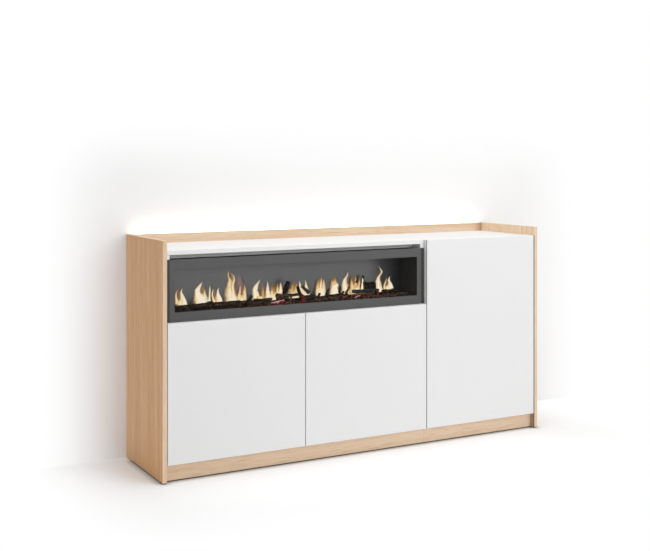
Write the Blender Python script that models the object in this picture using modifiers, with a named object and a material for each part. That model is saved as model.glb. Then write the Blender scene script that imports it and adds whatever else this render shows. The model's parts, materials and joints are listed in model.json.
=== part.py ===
# Fireplace sideboard: two white carcasses between oak outer panels, three push-open doors,
# an electric log-effect fireplace over the two left doors and a lit back rail.
# Metres, +Z up. Origin: middle of the footprint, on the floor. The front faces -Y.
import math

import bmesh
import bpy
from mathutils import Matrix, Vector

# Overall size
width = 1.600
depth = 0.350
height = 0.800

# Boards and the gaps between pieces
board = 0.016
door_thickness = 0.016
back_cover_thickness = 0.003
cover_margin = 0.001
edge_round = 0.0008
seam = 0.0003
cutter_reach = 0.010
door_gap = 0.0025
door_standoff = 0.002
rim_height = 0.034
plinth_height = 0.059
plinth_setback = 0.020
rear_recess = 0.010
rail_depth = 0.062

# Sides of round pieces, and the angle over which a round piece keeps a sharp edge
hole_sides = 8
small_sides = 12
large_sides = 24
sharp_angle = 35
merge_distance = 0.00001

# Inside the cupboards
shelf_side_gap = 0.001
shelf_front_setback = 0.012
shelf_back_gap = 0.002
low_shelf_drop = 0.0075
tall_shelf_drop = 0.010
pin_radius = 0.0025
pin_in_board = 0.007
pin_in_cupboard = 0.008
pin_setback = 0.045
pin_spacing = 0.032

# Floor glides, pressed into the boards that stand on the floor
glide_radius = 0.0065
glide_height = 0.003
glide_setback = 0.040
glide_stem = 0.004

# Door hinges
hinge_inset = 0.0215
hinge_from_edge = 0.090
cup_radius = 0.0172
cup_depth = 0.0110
cup_wall = 0.0009
cup_flange_height = 0.052
cup_flange_width = 0.020
cup_flange_thickness = 0.0010
cup_pin_radius = 0.0012
cup_pin_shift = 0.006
hinge_plate_thickness = 0.0025
hinge_plate_length = 0.034
hinge_plate_height = 0.050
hinge_plate_setback = 0.022
hinge_arm_length = 0.066
hinge_arm_height = 0.014
hinge_arm_thickness = 0.009
hinge_nose = 0.004
hinge_nose_length = 0.011

# Push latches
latch_width = 0.015
latch_height = 0.014
latch_length = 0.072
latch_from_side = 0.030
latch_bore_gap = 0.0004
plunger_radius = 0.0034
plunger_length = 0.055
plunger_tip_radius = 0.0050
plunger_tip_length = 0.0012

# Fireplace
niche_height = 0.224
vent_gap = 0.015
frame_lift = 0.001
frame_side_gap = 0.001
frame_thickness = 0.002
frame_band = 0.032
case_below_frame = 0.005
case_side_gap = 0.0035
case_sheet = 0.0015
glass_thickness = 0.004
glass_overlap = 0.008
liner_sheet = 0.0012
liner_clearance = 0.002
firebox_depth = 0.100
screen_thickness = 0.002
bed_top_below_window = 0.003
bed_sheet = 0.006
bed_mound = 0.007
mound_length = 0.103
ripple_length = 0.044
ripple_slant = 0.070
heap_columns = 56
heap_rows = 4
heap_margin = 0.004
heap_edge_rise = 0.0005
skirt_inset = 0.002
web_end_gap = 0.016
web_front_gap = 0.026
web_back_gap = 0.014
log_sides = 9
log_taper = 0.88
light_board_thickness = 0.0026
light_board_width = 0.014
light_board_end_gap = 0.030
light_board_gap = 0.006
rotor_radius = 0.0028
rotor_flag = 0.013
rotor_flag_width = 0.016
rotor_flag_sheet = 0.0012
rotor_flags = 16
rotor_flag_step = 47
rotor_behind_screen = 0.030
rotor_rise = 0.029
rotor_end_gap = 0.090
shaft_end = 0.006
bearing_sheet = 0.003
bearing_width = 0.016
running_gap = 0.0003
motor_radius = 0.024
motor_length = 0.022
motor_foot_inset = 0.002
blower_radius = 0.018
blower_length = 0.300
blower_blades = 12
blower_blade_depth = 0.006
blower_blade_sheet = 0.0008
blower_blade_lean = 25
blower_end_sheet = 0.0015
blower_end_gap = 0.004
blower_shaft_radius = 0.002
blower_shaft_end = 0.008
blower_housing_gap = 0.003
blower_housing_sheet = 0.0015
blower_mouth_lip = 0.004
blower_mouth_drop = 0.002
blower_mouth_top = 0.001
blower_intake_drop = 0.006
blower_behind_screen = 0.046
blower_back_gap = 0.006
blower_motor_radius = 0.016
blower_motor_length = 0.035
heater_depth = 0.012
heater_height = 0.018
heater_behind_screen = 0.006
heater_below_roof = 0.004
heater_slots = 24
heater_slot_width = 0.004
heater_rail = 0.003
heater_end = 0.010
heater_tab_length = 0.006
heater_tab_inset = 0.003
vent_slot_width = 0.006
vent_slot_length = 0.018
vent_slots = 20
outlet_lead = 0.003
intake_below_blower = 0.045
inlet_width = 0.027
inlet_height = 0.046
inlet_depth = 0.020
inlet_rim = 0.003
inlet_rim_thickness = 0.002
inlet_from_end = 0.060
inlet_rise = 0.090
socket_width = 0.021
socket_height = 0.015
socket_depth = 0.015
contact_spread = 0.007
contact_shift = 0.002
contact_width = 0.002
contact_height = 0.004
contact_recess = 0.003
rocker_width = 0.0125
rocker_height = 0.018
rocker_tilt = 12
rocker_ridge = 0.0045
rocker_body = 0.005
rocker_body_share = 0.8
rocker_gap = 0.0008
rocker_drop = 0.0005
rocker_axis_depth = 0.002
rocker_well_depth = 0.012
service_hole_width = 0.120
service_hole_height = 0.080

# Rear light
strip_height = 0.010
strip_thickness = 0.0055
strip_below_rim = 0.006
strip_end_gap = 0.015

# Places across, from the middle of the cabinet
left_outer = -width / 2
left_inner = left_outer + board
right_inner = -left_inner
door_width = (right_inner - left_inner - 4 * door_gap) / 3
divider_line = left_inner + 1.5 * door_gap + door_width
module_line = divider_line + door_width + door_gap
wide_left = left_inner + seam
wide_right = module_line - seam / 2
narrow_left = module_line + seam / 2
narrow_right = right_inner - seam

# Places from front to back
front = -depth / 2
back = depth / 2
door_back = front + door_thickness
carcass_front = door_back + door_standoff
plinth_front = front + plinth_setback
rail_back = back - rear_recess
rail_front = rail_back - board
carcass_back = rail_front - seam

# Heights
top_face = height - rim_height
top_under = top_face - board
niche_floor = top_under - niche_height
shelf_under = niche_floor - board
cupboard_floor = plinth_height + board
low_shelf = (cupboard_floor + shelf_under) / 2 - low_shelf_drop
tall_third = (top_under - cupboard_floor) / 3
tall_shelves = [cupboard_floor + i * tall_third - tall_shelf_drop for i in (1, 2)]
rail_foot = height - rim_height - rail_depth

# Fireplace, from the niche that holds it
niche_left = wide_left + board
niche_right = wide_right - board
frame_left = left_inner + frame_side_gap
frame_right = wide_right - frame_side_gap
frame_bottom = niche_floor + frame_lift
frame_top = top_under - vent_gap
frame_back = carcass_front - seam
frame_front = frame_back - frame_thickness
window_left = frame_left + frame_band
window_right = frame_right - frame_band
window_bottom = frame_bottom + frame_band
window_top = frame_top - frame_band
window_middle = (window_left + window_right) / 2
case_left = niche_left + case_side_gap
case_right = niche_right - case_side_gap
case_bottom = niche_floor + seam
case_top = frame_top - case_below_frame
case_front = carcass_front
case_floor = case_bottom + case_sheet + seam
case_roof = case_top - case_sheet - seam
glass_front = carcass_front
glass_back = glass_front + glass_thickness
liner_front = glass_back + seam
screen_front = front + plinth_setback + firebox_depth
screen_back = screen_front + screen_thickness
liner_left = window_left - liner_clearance
liner_right = window_right + liner_clearance
liner_top = window_top + liner_clearance
bed_top = window_bottom - bed_top_below_window
bed_floor = bed_top - bed_mound
rotor_y = screen_back + rotor_behind_screen
rotor_z = case_floor + rotor_rise
blower_y = screen_back + blower_behind_screen
blower_reach = blower_radius + blower_housing_gap + blower_housing_sheet
blower_z = case_roof - blower_reach - seam
case_back = blower_y + blower_reach + blower_back_gap + case_sheet

inlet_x = case_right - inlet_from_end
inlet_z = case_bottom + inlet_rise
rocker_z = inlet_z + inlet_height / 4 - rocker_drop
socket_z = inlet_z - inlet_height / 4
rocker_axis = (inlet_x, case_back - rocker_axis_depth, rocker_z)

parts = bpy.data.collections.new("fireplace_sideboard")
cutters = bpy.data.collections.new("cutters")


def clear_scene():
    for obj in list(bpy.data.objects):
        bpy.data.objects.remove(obj, do_unlink=True)
    bpy.context.scene.collection.children.link(parts)
    bpy.context.scene.collection.children.link(cutters)


def finish_material(name, colour, roughness, metallic=0.0, alpha=1.0, glow=None):
    material = bpy.data.materials.new(name)
    material.use_nodes = True
    shader = material.node_tree.nodes["Principled BSDF"]
    shader.inputs["Base Color"].default_value = (*colour, 1.0)
    shader.inputs["Roughness"].default_value = roughness
    shader.inputs["Metallic"].default_value = metallic
    shader.inputs["Alpha"].default_value = alpha
    if glow:
        shader.inputs["Emission Color"].default_value = (*glow, 1.0)
        shader.inputs["Emission Strength"].default_value = 1.0
    return material


# Shapes, added to an open bmesh
def add_box(bm, low, high):
    low, high = Vector(low), Vector(high)
    place = Matrix.Translation((low + high) / 2) @ Matrix.Diagonal((*(high - low), 1.0))
    bmesh.ops.create_cube(bm, size=1.0, matrix=place)


def add_rod(bm, start, end, radius, sides=small_sides, end_radius=None):
    start, end = Vector(start), Vector(end)
    along = end - start
    turn = along.to_track_quat("Z", "Y").to_matrix().to_4x4()
    place = Matrix.Translation((start + end) / 2) @ turn
    last_radius = radius if end_radius is None else end_radius
    bmesh.ops.create_cone(bm, cap_ends=True, segments=sides, radius1=radius,
                          radius2=last_radius, depth=along.length, matrix=place)


# The objects: a part's mesh is drawn in world places and then set about its own origin
def make_object(name, bm, collection, origin):
    bmesh.ops.translate(bm, verts=bm.verts, vec=-Vector(origin))
    mesh = bpy.data.meshes.new(name)
    bm.to_mesh(mesh)
    bm.free()
    obj = bpy.data.objects.new(name, mesh)
    obj.location = origin
    collection.objects.link(obj)
    return obj


def middle_of(bm):
    low = Vector([min(v.co[i] for v in bm.verts) for i in range(3)])
    high = Vector([max(v.co[i] for v in bm.verts) for i in range(3)])
    return (low + high) / 2


def part(name, bm, material, origin=None, smooth=False):
    obj = make_object(name, bm, parts, middle_of(bm) if origin is None else origin)
    obj.data.materials.append(material)
    if smooth:
        obj.data.shade_smooth()
        obj.data.set_sharp_from_angle(angle=math.radians(sharp_angle))
    return obj


def panel(name, low, high, material, origin=None):
    bm = bmesh.new()
    add_box(bm, low, high)
    obj = part(name, bm, material, origin)
    rounding = obj.modifiers.new("edge", "BEVEL")
    rounding.width = edge_round
    rounding.segments = 1
    return obj


def boolean(obj, tool_bm, operation):
    tool = make_object(obj.name + "_" + operation.lower(), tool_bm, cutters, (0, 0, 0))
    tool.hide_render = True
    tool.display_type = "WIRE"
    modifier = obj.modifiers.new(operation.lower(), "BOOLEAN")
    modifier.operation = operation
    modifier.object = tool
    modifier.solver = "EXACT"
    return obj


def cut(obj, tool_bm):
    return boolean(obj, tool_bm, "DIFFERENCE")


def fuse(obj, tool_bm):
    return boolean(obj, tool_bm, "UNION")


def outline_prism(name, points, length, turn, place):
    """A flat outline given thickness; turn and place set where its plane lies."""
    curve = bpy.data.curves.new(name + "_outline", "CURVE")
    curve.dimensions = "2D"
    curve.fill_mode = "BOTH"
    curve.extrude = length / 2
    spline = curve.splines.new("POLY")
    spline.points.add(len(points) - 1)
    for point, (x, y) in zip(spline.points, points):
        point.co = (x, y, 0, 1)
    spline.use_cyclic_u = True
    drawn = bpy.data.objects.new(name + "_outline", curve)
    cutters.objects.link(drawn)
    bpy.context.view_layer.update()
    evaluated = drawn.evaluated_get(bpy.context.evaluated_depsgraph_get())
    mesh = bpy.data.meshes.new_from_object(evaluated)
    bm = bmesh.new()
    bm.from_mesh(mesh)
    bmesh.ops.remove_doubles(bm, verts=bm.verts, dist=merge_distance)
    bmesh.ops.recalc_face_normals(bm, faces=bm.faces)
    bm.transform(Matrix.Translation(place) @ turn)
    bpy.data.objects.remove(drawn, do_unlink=True)
    bpy.data.meshes.remove(mesh)
    return bm


clear_scene()
oak = finish_material("oak_decor", (0.72, 0.53, 0.36), 0.55)
white = finish_material("white_board", (0.86, 0.86, 0.85), 0.5)
white_front = finish_material("white_front", (0.84, 0.84, 0.84), 0.4)
dark_steel = finish_material("dark_steel", (0.09, 0.09, 0.09), 0.5)
grey_steel = finish_material("grey_steel", (0.42, 0.42, 0.42), 0.45, 0.8)
bright_steel = finish_material("bright_steel", (0.62, 0.62, 0.63), 0.3, 1.0)
black_plastic = finish_material("black_plastic", (0.03, 0.03, 0.03), 0.5)
grey_plastic = finish_material("grey_plastic", (0.45, 0.45, 0.46), 0.5)
clear_glass = finish_material("clear_glass", (0.6, 0.6, 0.6), 0.05, 0.0, 0.25)
smoked_screen = finish_material("smoked_screen", (0.10, 0.10, 0.10), 0.25)
log_resin = finish_material("log_resin", (0.12, 0.06, 0.035), 0.85)
ember_resin = finish_material("ember_resin", (0.20, 0.05, 0.02), 0.6, 0.0, 1.0, (0.5, 0.08, 0.01))
circuit = finish_material("circuit_board", (0.03, 0.16, 0.07), 0.5)
ceramic = finish_material("heater_ceramic", (0.66, 0.62, 0.56), 0.7)
lit_diffuser = finish_material("lit_diffuser", (0.95, 0.93, 0.88), 0.5, 0.0, 1.0, (1.0, 0.95, 0.85))


# Outer panels, plinth and back rails
def fuse_glides(obj, x, start, end):
    """Two plastic glides under a board that runs from start to end."""
    bm = bmesh.new()
    for y in (start + glide_setback, end - glide_setback):
        add_rod(bm, (x, y, 0), (x, y, glide_height + glide_stem), glide_radius)
    fuse(obj, bm)


def outer_panels():
    for name, low_x in (("left_outer_panel", left_outer), ("right_outer_panel", right_inner)):
        obj = panel(name, (low_x, front, glide_height), (low_x + board, back, height), oak)
        fuse_glides(obj, low_x + board / 2, front, back)


def plinths():
    spans = {"left_plinth": (wide_left, wide_right), "right_plinth": (narrow_left, narrow_right)}
    for name, (low_x, high_x) in spans.items():
        panel(name, (low_x, plinth_front, glide_height),
              (high_x, plinth_front + board, plinth_height - seam), oak)


def rails():
    spans = {"left_back_rail": (wide_left, wide_right), "right_back_rail": (narrow_left, narrow_right)}
    for name, (low_x, high_x) in spans.items():
        panel(name, (low_x, rail_front, rail_foot), (high_x, rail_back, height), oak)


# Carcasses
pin_rows = (carcass_front + pin_setback, carcass_back - pin_setback)


def fuse_pins(obj, face, inward, shelf_top):
    """The pins that carry one end of a shelf, standing out of a board's face."""
    bm = bmesh.new()
    level = shelf_top - board - pin_radius
    for y in pin_rows:
        add_rod(bm, (face - inward * pin_in_board, y, level),
                (face + inward * pin_in_cupboard, y, level), pin_radius)
    fuse(obj, bm)


def cut_pin_holes(obj, face, inward, shelf_top):
    """Spare holes above and below the pins in use."""
    bm = bmesh.new()
    level = shelf_top - board - pin_radius
    for y in pin_rows:
        for z in (level - pin_spacing, level + pin_spacing):
            add_rod(bm, (face - inward * pin_in_board, y, z), (face + inward * cutter_reach, y, z),
                    pin_radius, hole_sides)
    cut(obj, bm)


def carcass_sides():
    """Four boards that stand on the floor, notched in front for the plinth."""
    # name, low x, direction of its own cupboard, tops of the shelves that it carries
    sides = (
        ("wide_left_side", wide_left, 1, [low_shelf]),
        ("wide_right_side", wide_right - board, -1, [low_shelf]),
        ("narrow_left_side", narrow_left, 1, tall_shelves),
        ("narrow_right_side", narrow_right - board, -1, tall_shelves),
    )
    notch_back = plinth_front + board + seam
    for name, low_x, inward, shelf_tops in sides:
        obj = panel(name, (low_x, carcass_front, glide_height),
                    (low_x + board, carcass_back, top_under - seam), white)
        notch = bmesh.new()
        add_box(notch, (low_x - cutter_reach, carcass_front - cutter_reach, 0),
                (low_x + board + cutter_reach, notch_back, plinth_height))
        cut(obj, notch)
        fuse_glides(obj, low_x + board / 2, notch_back, carcass_back)
        face = low_x + board if inward > 0 else low_x
        for shelf_top in shelf_tops:
            cut_pin_holes(obj, face, inward, shelf_top)
            fuse_pins(obj, face, inward, shelf_top)


def fixed_boards():
    spans = {
        "wide_bottom_board": (niche_left, niche_right, plinth_height),
        "narrow_bottom_board": (narrow_left + board, narrow_right - board, plinth_height),
        "fireplace_shelf": (niche_left, niche_right, shelf_under),
    }
    for name, (low_x, high_x, low_z) in spans.items():
        panel(name, (low_x + seam, carcass_front, low_z), (high_x - seam, carcass_back, low_z + board), white)


def top_boards():
    spans = {"wide_top_board": (wide_left, wide_right), "narrow_top_board": (narrow_left, narrow_right)}
    for name, (low_x, high_x) in spans.items():
        panel(name, (low_x, carcass_front, top_under), (high_x, carcass_back, top_face), white)


def centre_divider():
    low_x = divider_line - board / 2
    obj = panel("centre_divider", (low_x, carcass_front, cupboard_floor + seam),
                (low_x + board, carcass_back, shelf_under - seam), white)
    for face, inward in ((low_x, -1), (low_x + board, 1)):
        cut_pin_holes(obj, face, inward, low_shelf)
        fuse_pins(obj, face, inward, low_shelf)


def loose_shelves():
    # the two faces that each shelf lies between, and the height of its top
    spans = {
        "left_shelf": (niche_left, divider_line - board / 2, low_shelf),
        "middle_shelf": (divider_line + board / 2, niche_right, low_shelf),
        "right_lower_shelf": (narrow_left + board, narrow_right - board, tall_shelves[0]),
        "right_upper_shelf": (narrow_left + board, narrow_right - board, tall_shelves[1]),
    }
    for name, (low_x, high_x, top) in spans.items():
        panel(name, (low_x + shelf_side_gap, carcass_front + shelf_front_setback, top - board + seam),
              (high_x - shelf_side_gap, carcass_back - shelf_back_gap, top), white)


def back_covers():
    """Thin boards on the carcasses' rear edges, with a way through to the power inlet."""
    low_y = carcass_back + seam
    bottom, top = plinth_height + cover_margin, rail_foot - cover_margin
    spans = {"wide_back_cover": (wide_left, wide_right), "narrow_back_cover": (narrow_left, narrow_right)}
    for name, (low_x, high_x) in spans.items():
        bm = bmesh.new()
        add_box(bm, (low_x + cover_margin, low_y, bottom),
                (high_x - cover_margin, low_y + back_cover_thickness, top))
        cover = part(name, bm, white)
        if name == "wide_back_cover":
            hole = bmesh.new()
            half_width, half_height = service_hole_width / 2, service_hole_height / 2
            add_box(hole, (inlet_x - half_width, low_y - cutter_reach, inlet_z - half_height),
                    (inlet_x + half_width, low_y + cutter_reach, inlet_z + half_height))
            cut(cover, hole)


# Doors: hinge edge (x), direction from it across the door, bottom and top
doors = {
    "left": (left_inner + door_gap, 1, plinth_height, niche_floor),
    "middle": (module_line - door_gap / 2, -1, plinth_height, niche_floor),
    "right": (right_inner - door_gap, -1, plinth_height, top_face),
}


def hinge_heights(bottom, top):
    return bottom + hinge_from_edge, top - hinge_from_edge


def hinge_names(name, bottom, top):
    lower, upper = hinge_heights(bottom, top)
    return (name + "_door_lower_hinge", lower), (name + "_door_upper_hinge", upper)


def hinge_cup(name, x, z, origin):
    """A steel cup let into the door, with its screw flange and the two pins of its links."""
    floor = door_back - cup_depth
    rim = door_back + seam + cup_flange_thickness
    cup = bmesh.new()
    add_rod(cup, (x, floor, z), (x, rim - seam / 2, z), cup_radius, large_sides)
    obj = part(name + "_cup", cup, bright_steel, origin)
    flange = bmesh.new()
    add_box(flange, (x - cup_flange_width / 2, door_back + seam, z - cup_flange_height / 2),
            (x + cup_flange_width / 2, rim, z + cup_flange_height / 2))
    fuse(obj, flange)
    hollow = bmesh.new()
    add_rod(hollow, (x, floor + cup_wall, z), (x, rim + cutter_reach, z), cup_radius - cup_wall, large_sides)
    cut(obj, hollow)
    pins = bmesh.new()
    reach = math.sqrt((cup_radius - cup_wall) ** 2 - cup_pin_shift ** 2) + cup_wall / 3
    y = floor + cup_depth / 2
    for shift in (-cup_pin_shift, cup_pin_shift):
        add_rod(pins, (x + shift, y, z - reach), (x + shift, y, z + reach), cup_pin_radius, hole_sides)
    fuse(obj, pins)


def make_doors():
    for name, (edge, across, bottom, top) in doors.items():
        origin = (edge, front, (bottom + top) / 2)
        far = edge + across * door_width
        door = panel(name + "_door", (min(edge, far), front, bottom),
                     (max(edge, far), door_back, top), white_front, origin)
        x = edge + across * hinge_inset
        bores = bmesh.new()
        for hinge, z in hinge_names(name, bottom, top):
            add_rod(bores, (x, door_back - cup_depth - seam, z), (x, door_back + cutter_reach, z),
                    cup_radius + seam, large_sides)
            hinge_cup(hinge, x, z, origin)
        cut(door, bores)


def hinge_arms():
    """Arms on plates, screwed to the carcass sides. Their links to the cups are left open."""
    faces = {"left": niche_left, "middle": niche_right, "right": narrow_right - board}
    for name, (edge, inward, bottom, top) in doors.items():
        face = faces[name]
        for hinge, z in hinge_names(name, bottom, top):
            start = carcass_front + hinge_plate_setback
            near = face + inward * seam
            base = near + inward * hinge_plate_thickness
            plate = bmesh.new()
            add_box(plate, (min(near, base), start, z - hinge_plate_height / 2),
                    (max(near, base), start + hinge_plate_length, z + hinge_plate_height / 2))
            obj = part(hinge + "_arm", plate, bright_steel)
            root = base - inward * seam
            outside = root + inward * hinge_arm_thickness
            nose = outside + inward * hinge_nose
            first = carcass_front + seam
            last = first + hinge_arm_length
            outline = [(root, last), (root, first + hinge_nose_length),
                       (root + inward * hinge_nose / 2, first),
                       (nose, first), (nose, first + hinge_nose_length),
                       (outside, first + 2 * hinge_nose_length), (outside, last)]
            fuse(obj, outline_prism("arm", outline, hinge_arm_height, Matrix.Identity(4), (0, 0, z)))


def push_latches():
    """Under the board above each door, near the door's free edge."""
    # the line from which each latch stands off, direction, and the board that it hangs from
    places = {
        "left": (divider_line - board / 2, -1, shelf_under),
        "middle": (divider_line + board / 2, 1, shelf_under),
        "right": (narrow_left + board, 1, top_under),
    }
    for name, (line, away, carrier) in places.items():
        x = line + away * latch_from_side
        z = carrier - seam - latch_height / 2
        start = carcass_front + seam
        tip = door_back + seam
        body = bmesh.new()
        add_box(body, (x - latch_width / 2, start, z - latch_height / 2),
                (x + latch_width / 2, start + latch_length, z + latch_height / 2))
        bore = bmesh.new()
        add_rod(bore, (x, start - cutter_reach, z), (x, tip + plunger_length + latch_bore_gap, z),
                plunger_radius + latch_bore_gap)
        cut(part(name + "_latch_body", body, grey_plastic), bore)
        cap = bmesh.new()
        add_rod(cap, (x, tip, z), (x, tip + plunger_tip_length, z), plunger_tip_radius)
        plunger = part(name + "_latch_plunger", cap, grey_plastic, (x, tip, z))
        rod = bmesh.new()
        add_rod(rod, (x, tip + plunger_tip_length / 2, z), (x, tip + plunger_length, z), plunger_radius)
        fuse(plunger, rod)


# Fireplace casing
def fireplace_frame():
    bm = bmesh.new()
    add_box(bm, (frame_left, frame_front, frame_bottom), (frame_right, frame_back, frame_top))
    window = bmesh.new()
    add_box(window, (window_left, frame_front - cutter_reach, window_bottom),
            (window_right, frame_back + cutter_reach, window_top))
    cut(part("fireplace_frame", bm, dark_steel), window)


def fireplace_case():
    bm = bmesh.new()
    add_box(bm, (case_left, case_front, case_bottom), (case_right, case_back, case_top))
    obj = part("fireplace_case", bm, grey_steel)
    sheet = case_sheet
    hollow = bmesh.new()
    add_box(hollow, (case_left + sheet, case_front - cutter_reach, case_bottom + sheet),
            (case_right - sheet, case_back - sheet, case_top - sheet))
    cut(obj, hollow)
    openings = bmesh.new()
    outlet = screen_back + heater_behind_screen - outlet_lead
    intake = blower_z - intake_below_blower
    for i in range(vent_slots):
        x = window_middle + (i - (vent_slots - 1) / 2) * 2 * vent_slot_width
        left, right = x - vent_slot_width / 2, x + vent_slot_width / 2
        add_box(openings, (left, outlet, case_top - 2 * sheet),
                (right, outlet + vent_slot_length, case_top + cutter_reach))
        add_box(openings, (left, case_back - 2 * sheet, intake),
                (right, case_back + cutter_reach, intake + vent_slot_length))
    half_width, half_height = inlet_width / 2 + seam, inlet_height / 2 + seam
    add_box(openings, (inlet_x - half_width, case_back - 2 * sheet, inlet_z - half_height),
            (inlet_x + half_width, case_back + cutter_reach, inlet_z + half_height))
    cut(obj, openings)


def front_glass():
    panel("front_glass", (window_left - glass_overlap, glass_front, window_bottom - glass_overlap),
          (window_right + glass_overlap, glass_back, window_top + glass_overlap), clear_glass)


def firebox_liner():
    """One bent sheet: left cheek, roof and right cheek."""
    outer = (liner_left - liner_sheet, liner_right + liner_sheet, liner_top + liner_sheet)
    bm = bmesh.new()
    add_box(bm, (outer[0], liner_front, case_floor), (outer[1], screen_front - seam, outer[2]))
    hollow = bmesh.new()
    add_box(hollow, (liner_left, liner_front - cutter_reach, case_floor - cutter_reach),
            (liner_right, screen_front + cutter_reach, liner_top))
    cut(part("firebox_liner", bm, dark_steel), hollow)


def flame_screen():
    panel("flame_screen", (case_left + case_sheet + seam, screen_front, case_floor),
          (case_right - case_sheet - seam, screen_back, case_roof), smoked_screen)


# The log casting. Each log: one end, the other end and its thickness. An end is a share of the
# window's half width from its middle, a share of the way from the glass to the screen, and a
# height over the window's lower edge.
logs = (
    ((-0.960, 0.35, 0.004), (-0.613, 0.41, 0.006), 0.018),
    ((-0.623, 0.37, 0.005), (-0.276, 0.33, 0.004), 0.018),
    ((-0.930, 0.73, 0.002), (-0.490, 0.78, 0.003), 0.014),
    ((-0.511, 0.76, 0.004), (-0.041, 0.73, 0.004), 0.015),
    ((-0.255, 0.41, 0.004), (0.041, 0.47, 0.004), 0.019),
    ((-0.135, 0.57, 0.022), (0.041, 0.55, 0.023), 0.012),
    ((-0.069, 0.61, 0.008), (-0.049, 0.65, 0.074), 0.015),
    ((0.086, 0.45, -0.002), (0.029, 0.51, 0.052), 0.013),
    ((0.131, 0.59, 0.020), (0.037, 0.55, 0.048), 0.011),
    ((0.074, 0.41, 0.008), (0.192, 0.39, 0.006), 0.021),
    ((0.163, 0.31, 0.002), (0.323, 0.27, 0.002), 0.016),
    ((0.000, 0.78, 0.004), (0.450, 0.73, 0.004), 0.015),
    ((0.307, 0.43, 0.006), (0.421, 0.41, 0.007), 0.020),
    ((0.409, 0.47, 0.005), (0.560, 0.51, 0.006), 0.018),
    ((0.462, 0.53, 0.010), (0.474, 0.55, 0.040), 0.010),
    ((0.503, 0.45, 0.030), (0.703, 0.49, 0.023), 0.016),
    ((0.584, 0.39, 0.004), (0.715, 0.43, 0.004), 0.018),
    ((0.409, 0.80, 0.004), (0.960, 0.76, 0.003), 0.015),
    ((0.552, 0.78, 0.010), (0.601, 0.80, 0.074), 0.012),
    ((0.613, 0.76, 0.056), (0.719, 0.74, 0.008), 0.013),
    ((0.707, 0.47, 0.034), (0.760, 0.41, 0.000), 0.013),
    ((0.736, 0.39, 0.006), (0.977, 0.37, 0.002), 0.016),
    ((0.817, 0.31, 0.006), (0.858, 0.76, 0.007), 0.018),
    ((0.776, 0.55, 0.020), (0.911, 0.57, 0.013), 0.013),
)


def log_point(point):
    across, inward, rise = point
    return Vector((window_middle + across * (window_right - window_left) / 2,
                   glass_back + inward * (screen_front - glass_back), window_bottom + rise))


def log_rod(bm, log, growth=0.0):
    start, end = log_point(log[0]), log_point(log[1])
    radius = log[2] / 2 + growth
    stretch = (end - start).normalized() * growth
    add_rod(bm, start - stretch, end + stretch, radius, log_sides, radius * log_taper)


def log_web(growth=0.0):
    """The flat web under the logs that makes them one casting."""
    bm = bmesh.new()
    low = Vector((window_left + web_end_gap, glass_back + web_front_gap, bed_floor + seam))
    high = Vector((window_right - web_end_gap, screen_front - web_back_gap, bed_top))
    grown = Vector((growth, growth, growth))
    add_box(bm, low - grown, high + grown)
    return bm


def log_set():
    first = bmesh.new()
    log_rod(first, logs[0])
    obj = part("log_set", first, log_resin)
    for log in logs[1:]:
        bm = bmesh.new()
        log_rod(bm, log)
        fuse(obj, bm)
    fuse(obj, log_web())
    # The casting is flat underneath, where it lies on the bed
    floor = bmesh.new()
    add_box(floor, (liner_left, liner_front, case_bottom), (liner_right, screen_front, bed_floor + seam))
    cut(obj, floor)


def mound_height(x, y):
    """Ember heaps: low waves along the bed."""
    mounds = math.sin(2 * math.pi * x / mound_length)
    ripples = math.sin(2 * math.pi * (x / ripple_length + y / ripple_slant))
    return bed_mound * (2 + mounds + ripples) / 4


def ember_bed():
    """A moulded tray on two skirts, with heaped embers on top and seats for the logs."""
    low = (liner_left + seam, liner_front + seam, bed_floor - bed_sheet)
    high = (liner_right - seam, screen_front - 2 * seam, bed_floor)
    bm = bmesh.new()
    add_box(bm, low, high)
    obj = part("ember_bed", bm, ember_resin)
    skirts = bmesh.new()
    for y in (low[1] + skirt_inset, high[1] - skirt_inset - bed_sheet):
        add_box(skirts, (low[0] + skirt_inset, y, case_floor),
                (high[0] - skirt_inset, y + bed_sheet, high[2] - bed_sheet / 2))
    fuse(obj, skirts)
    heap = bmesh.new()
    bmesh.ops.create_grid(heap, x_segments=heap_columns, y_segments=heap_rows, size=0.5)
    for vert in heap.verts:
        on_edge = max(abs(vert.co.x), abs(vert.co.y)) > 0.5 - merge_distance
        x = (low[0] + high[0]) / 2 + vert.co.x * (high[0] - low[0] - 2 * heap_margin)
        y = (low[1] + high[1]) / 2 + vert.co.y * (high[1] - low[1] - 2 * heap_margin)
        vert.co = (x, y, high[2] + (heap_edge_rise if on_edge else mound_height(x, y)))
    skin = bmesh.ops.extrude_face_region(heap, geom=list(heap.faces))
    lifted = [item for item in skin["geom"] if isinstance(item, bmesh.types.BMVert)]
    for vert in lifted:
        vert.co.z = high[2] - bed_sheet / 2
    bmesh.ops.recalc_face_normals(heap, faces=heap.faces)
    fuse(obj, heap)
    for log in logs:
        seat = bmesh.new()
        log_rod(seat, log, seam)
        cut(obj, seat)
    cut(obj, log_web(seam))


# Fireplace works
def light_board():
    """Lamps on a long board at the screen's foot, for the rotor and the embers."""
    low_y = screen_back + light_board_gap
    panel("light_board", (liner_left + light_board_end_gap, low_y, case_floor),
          (liner_right - light_board_end_gap, low_y + light_board_width,
           case_floor + light_board_thickness), circuit)


rotor_left = liner_left + rotor_end_gap
rotor_right = liner_right - rotor_end_gap


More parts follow.
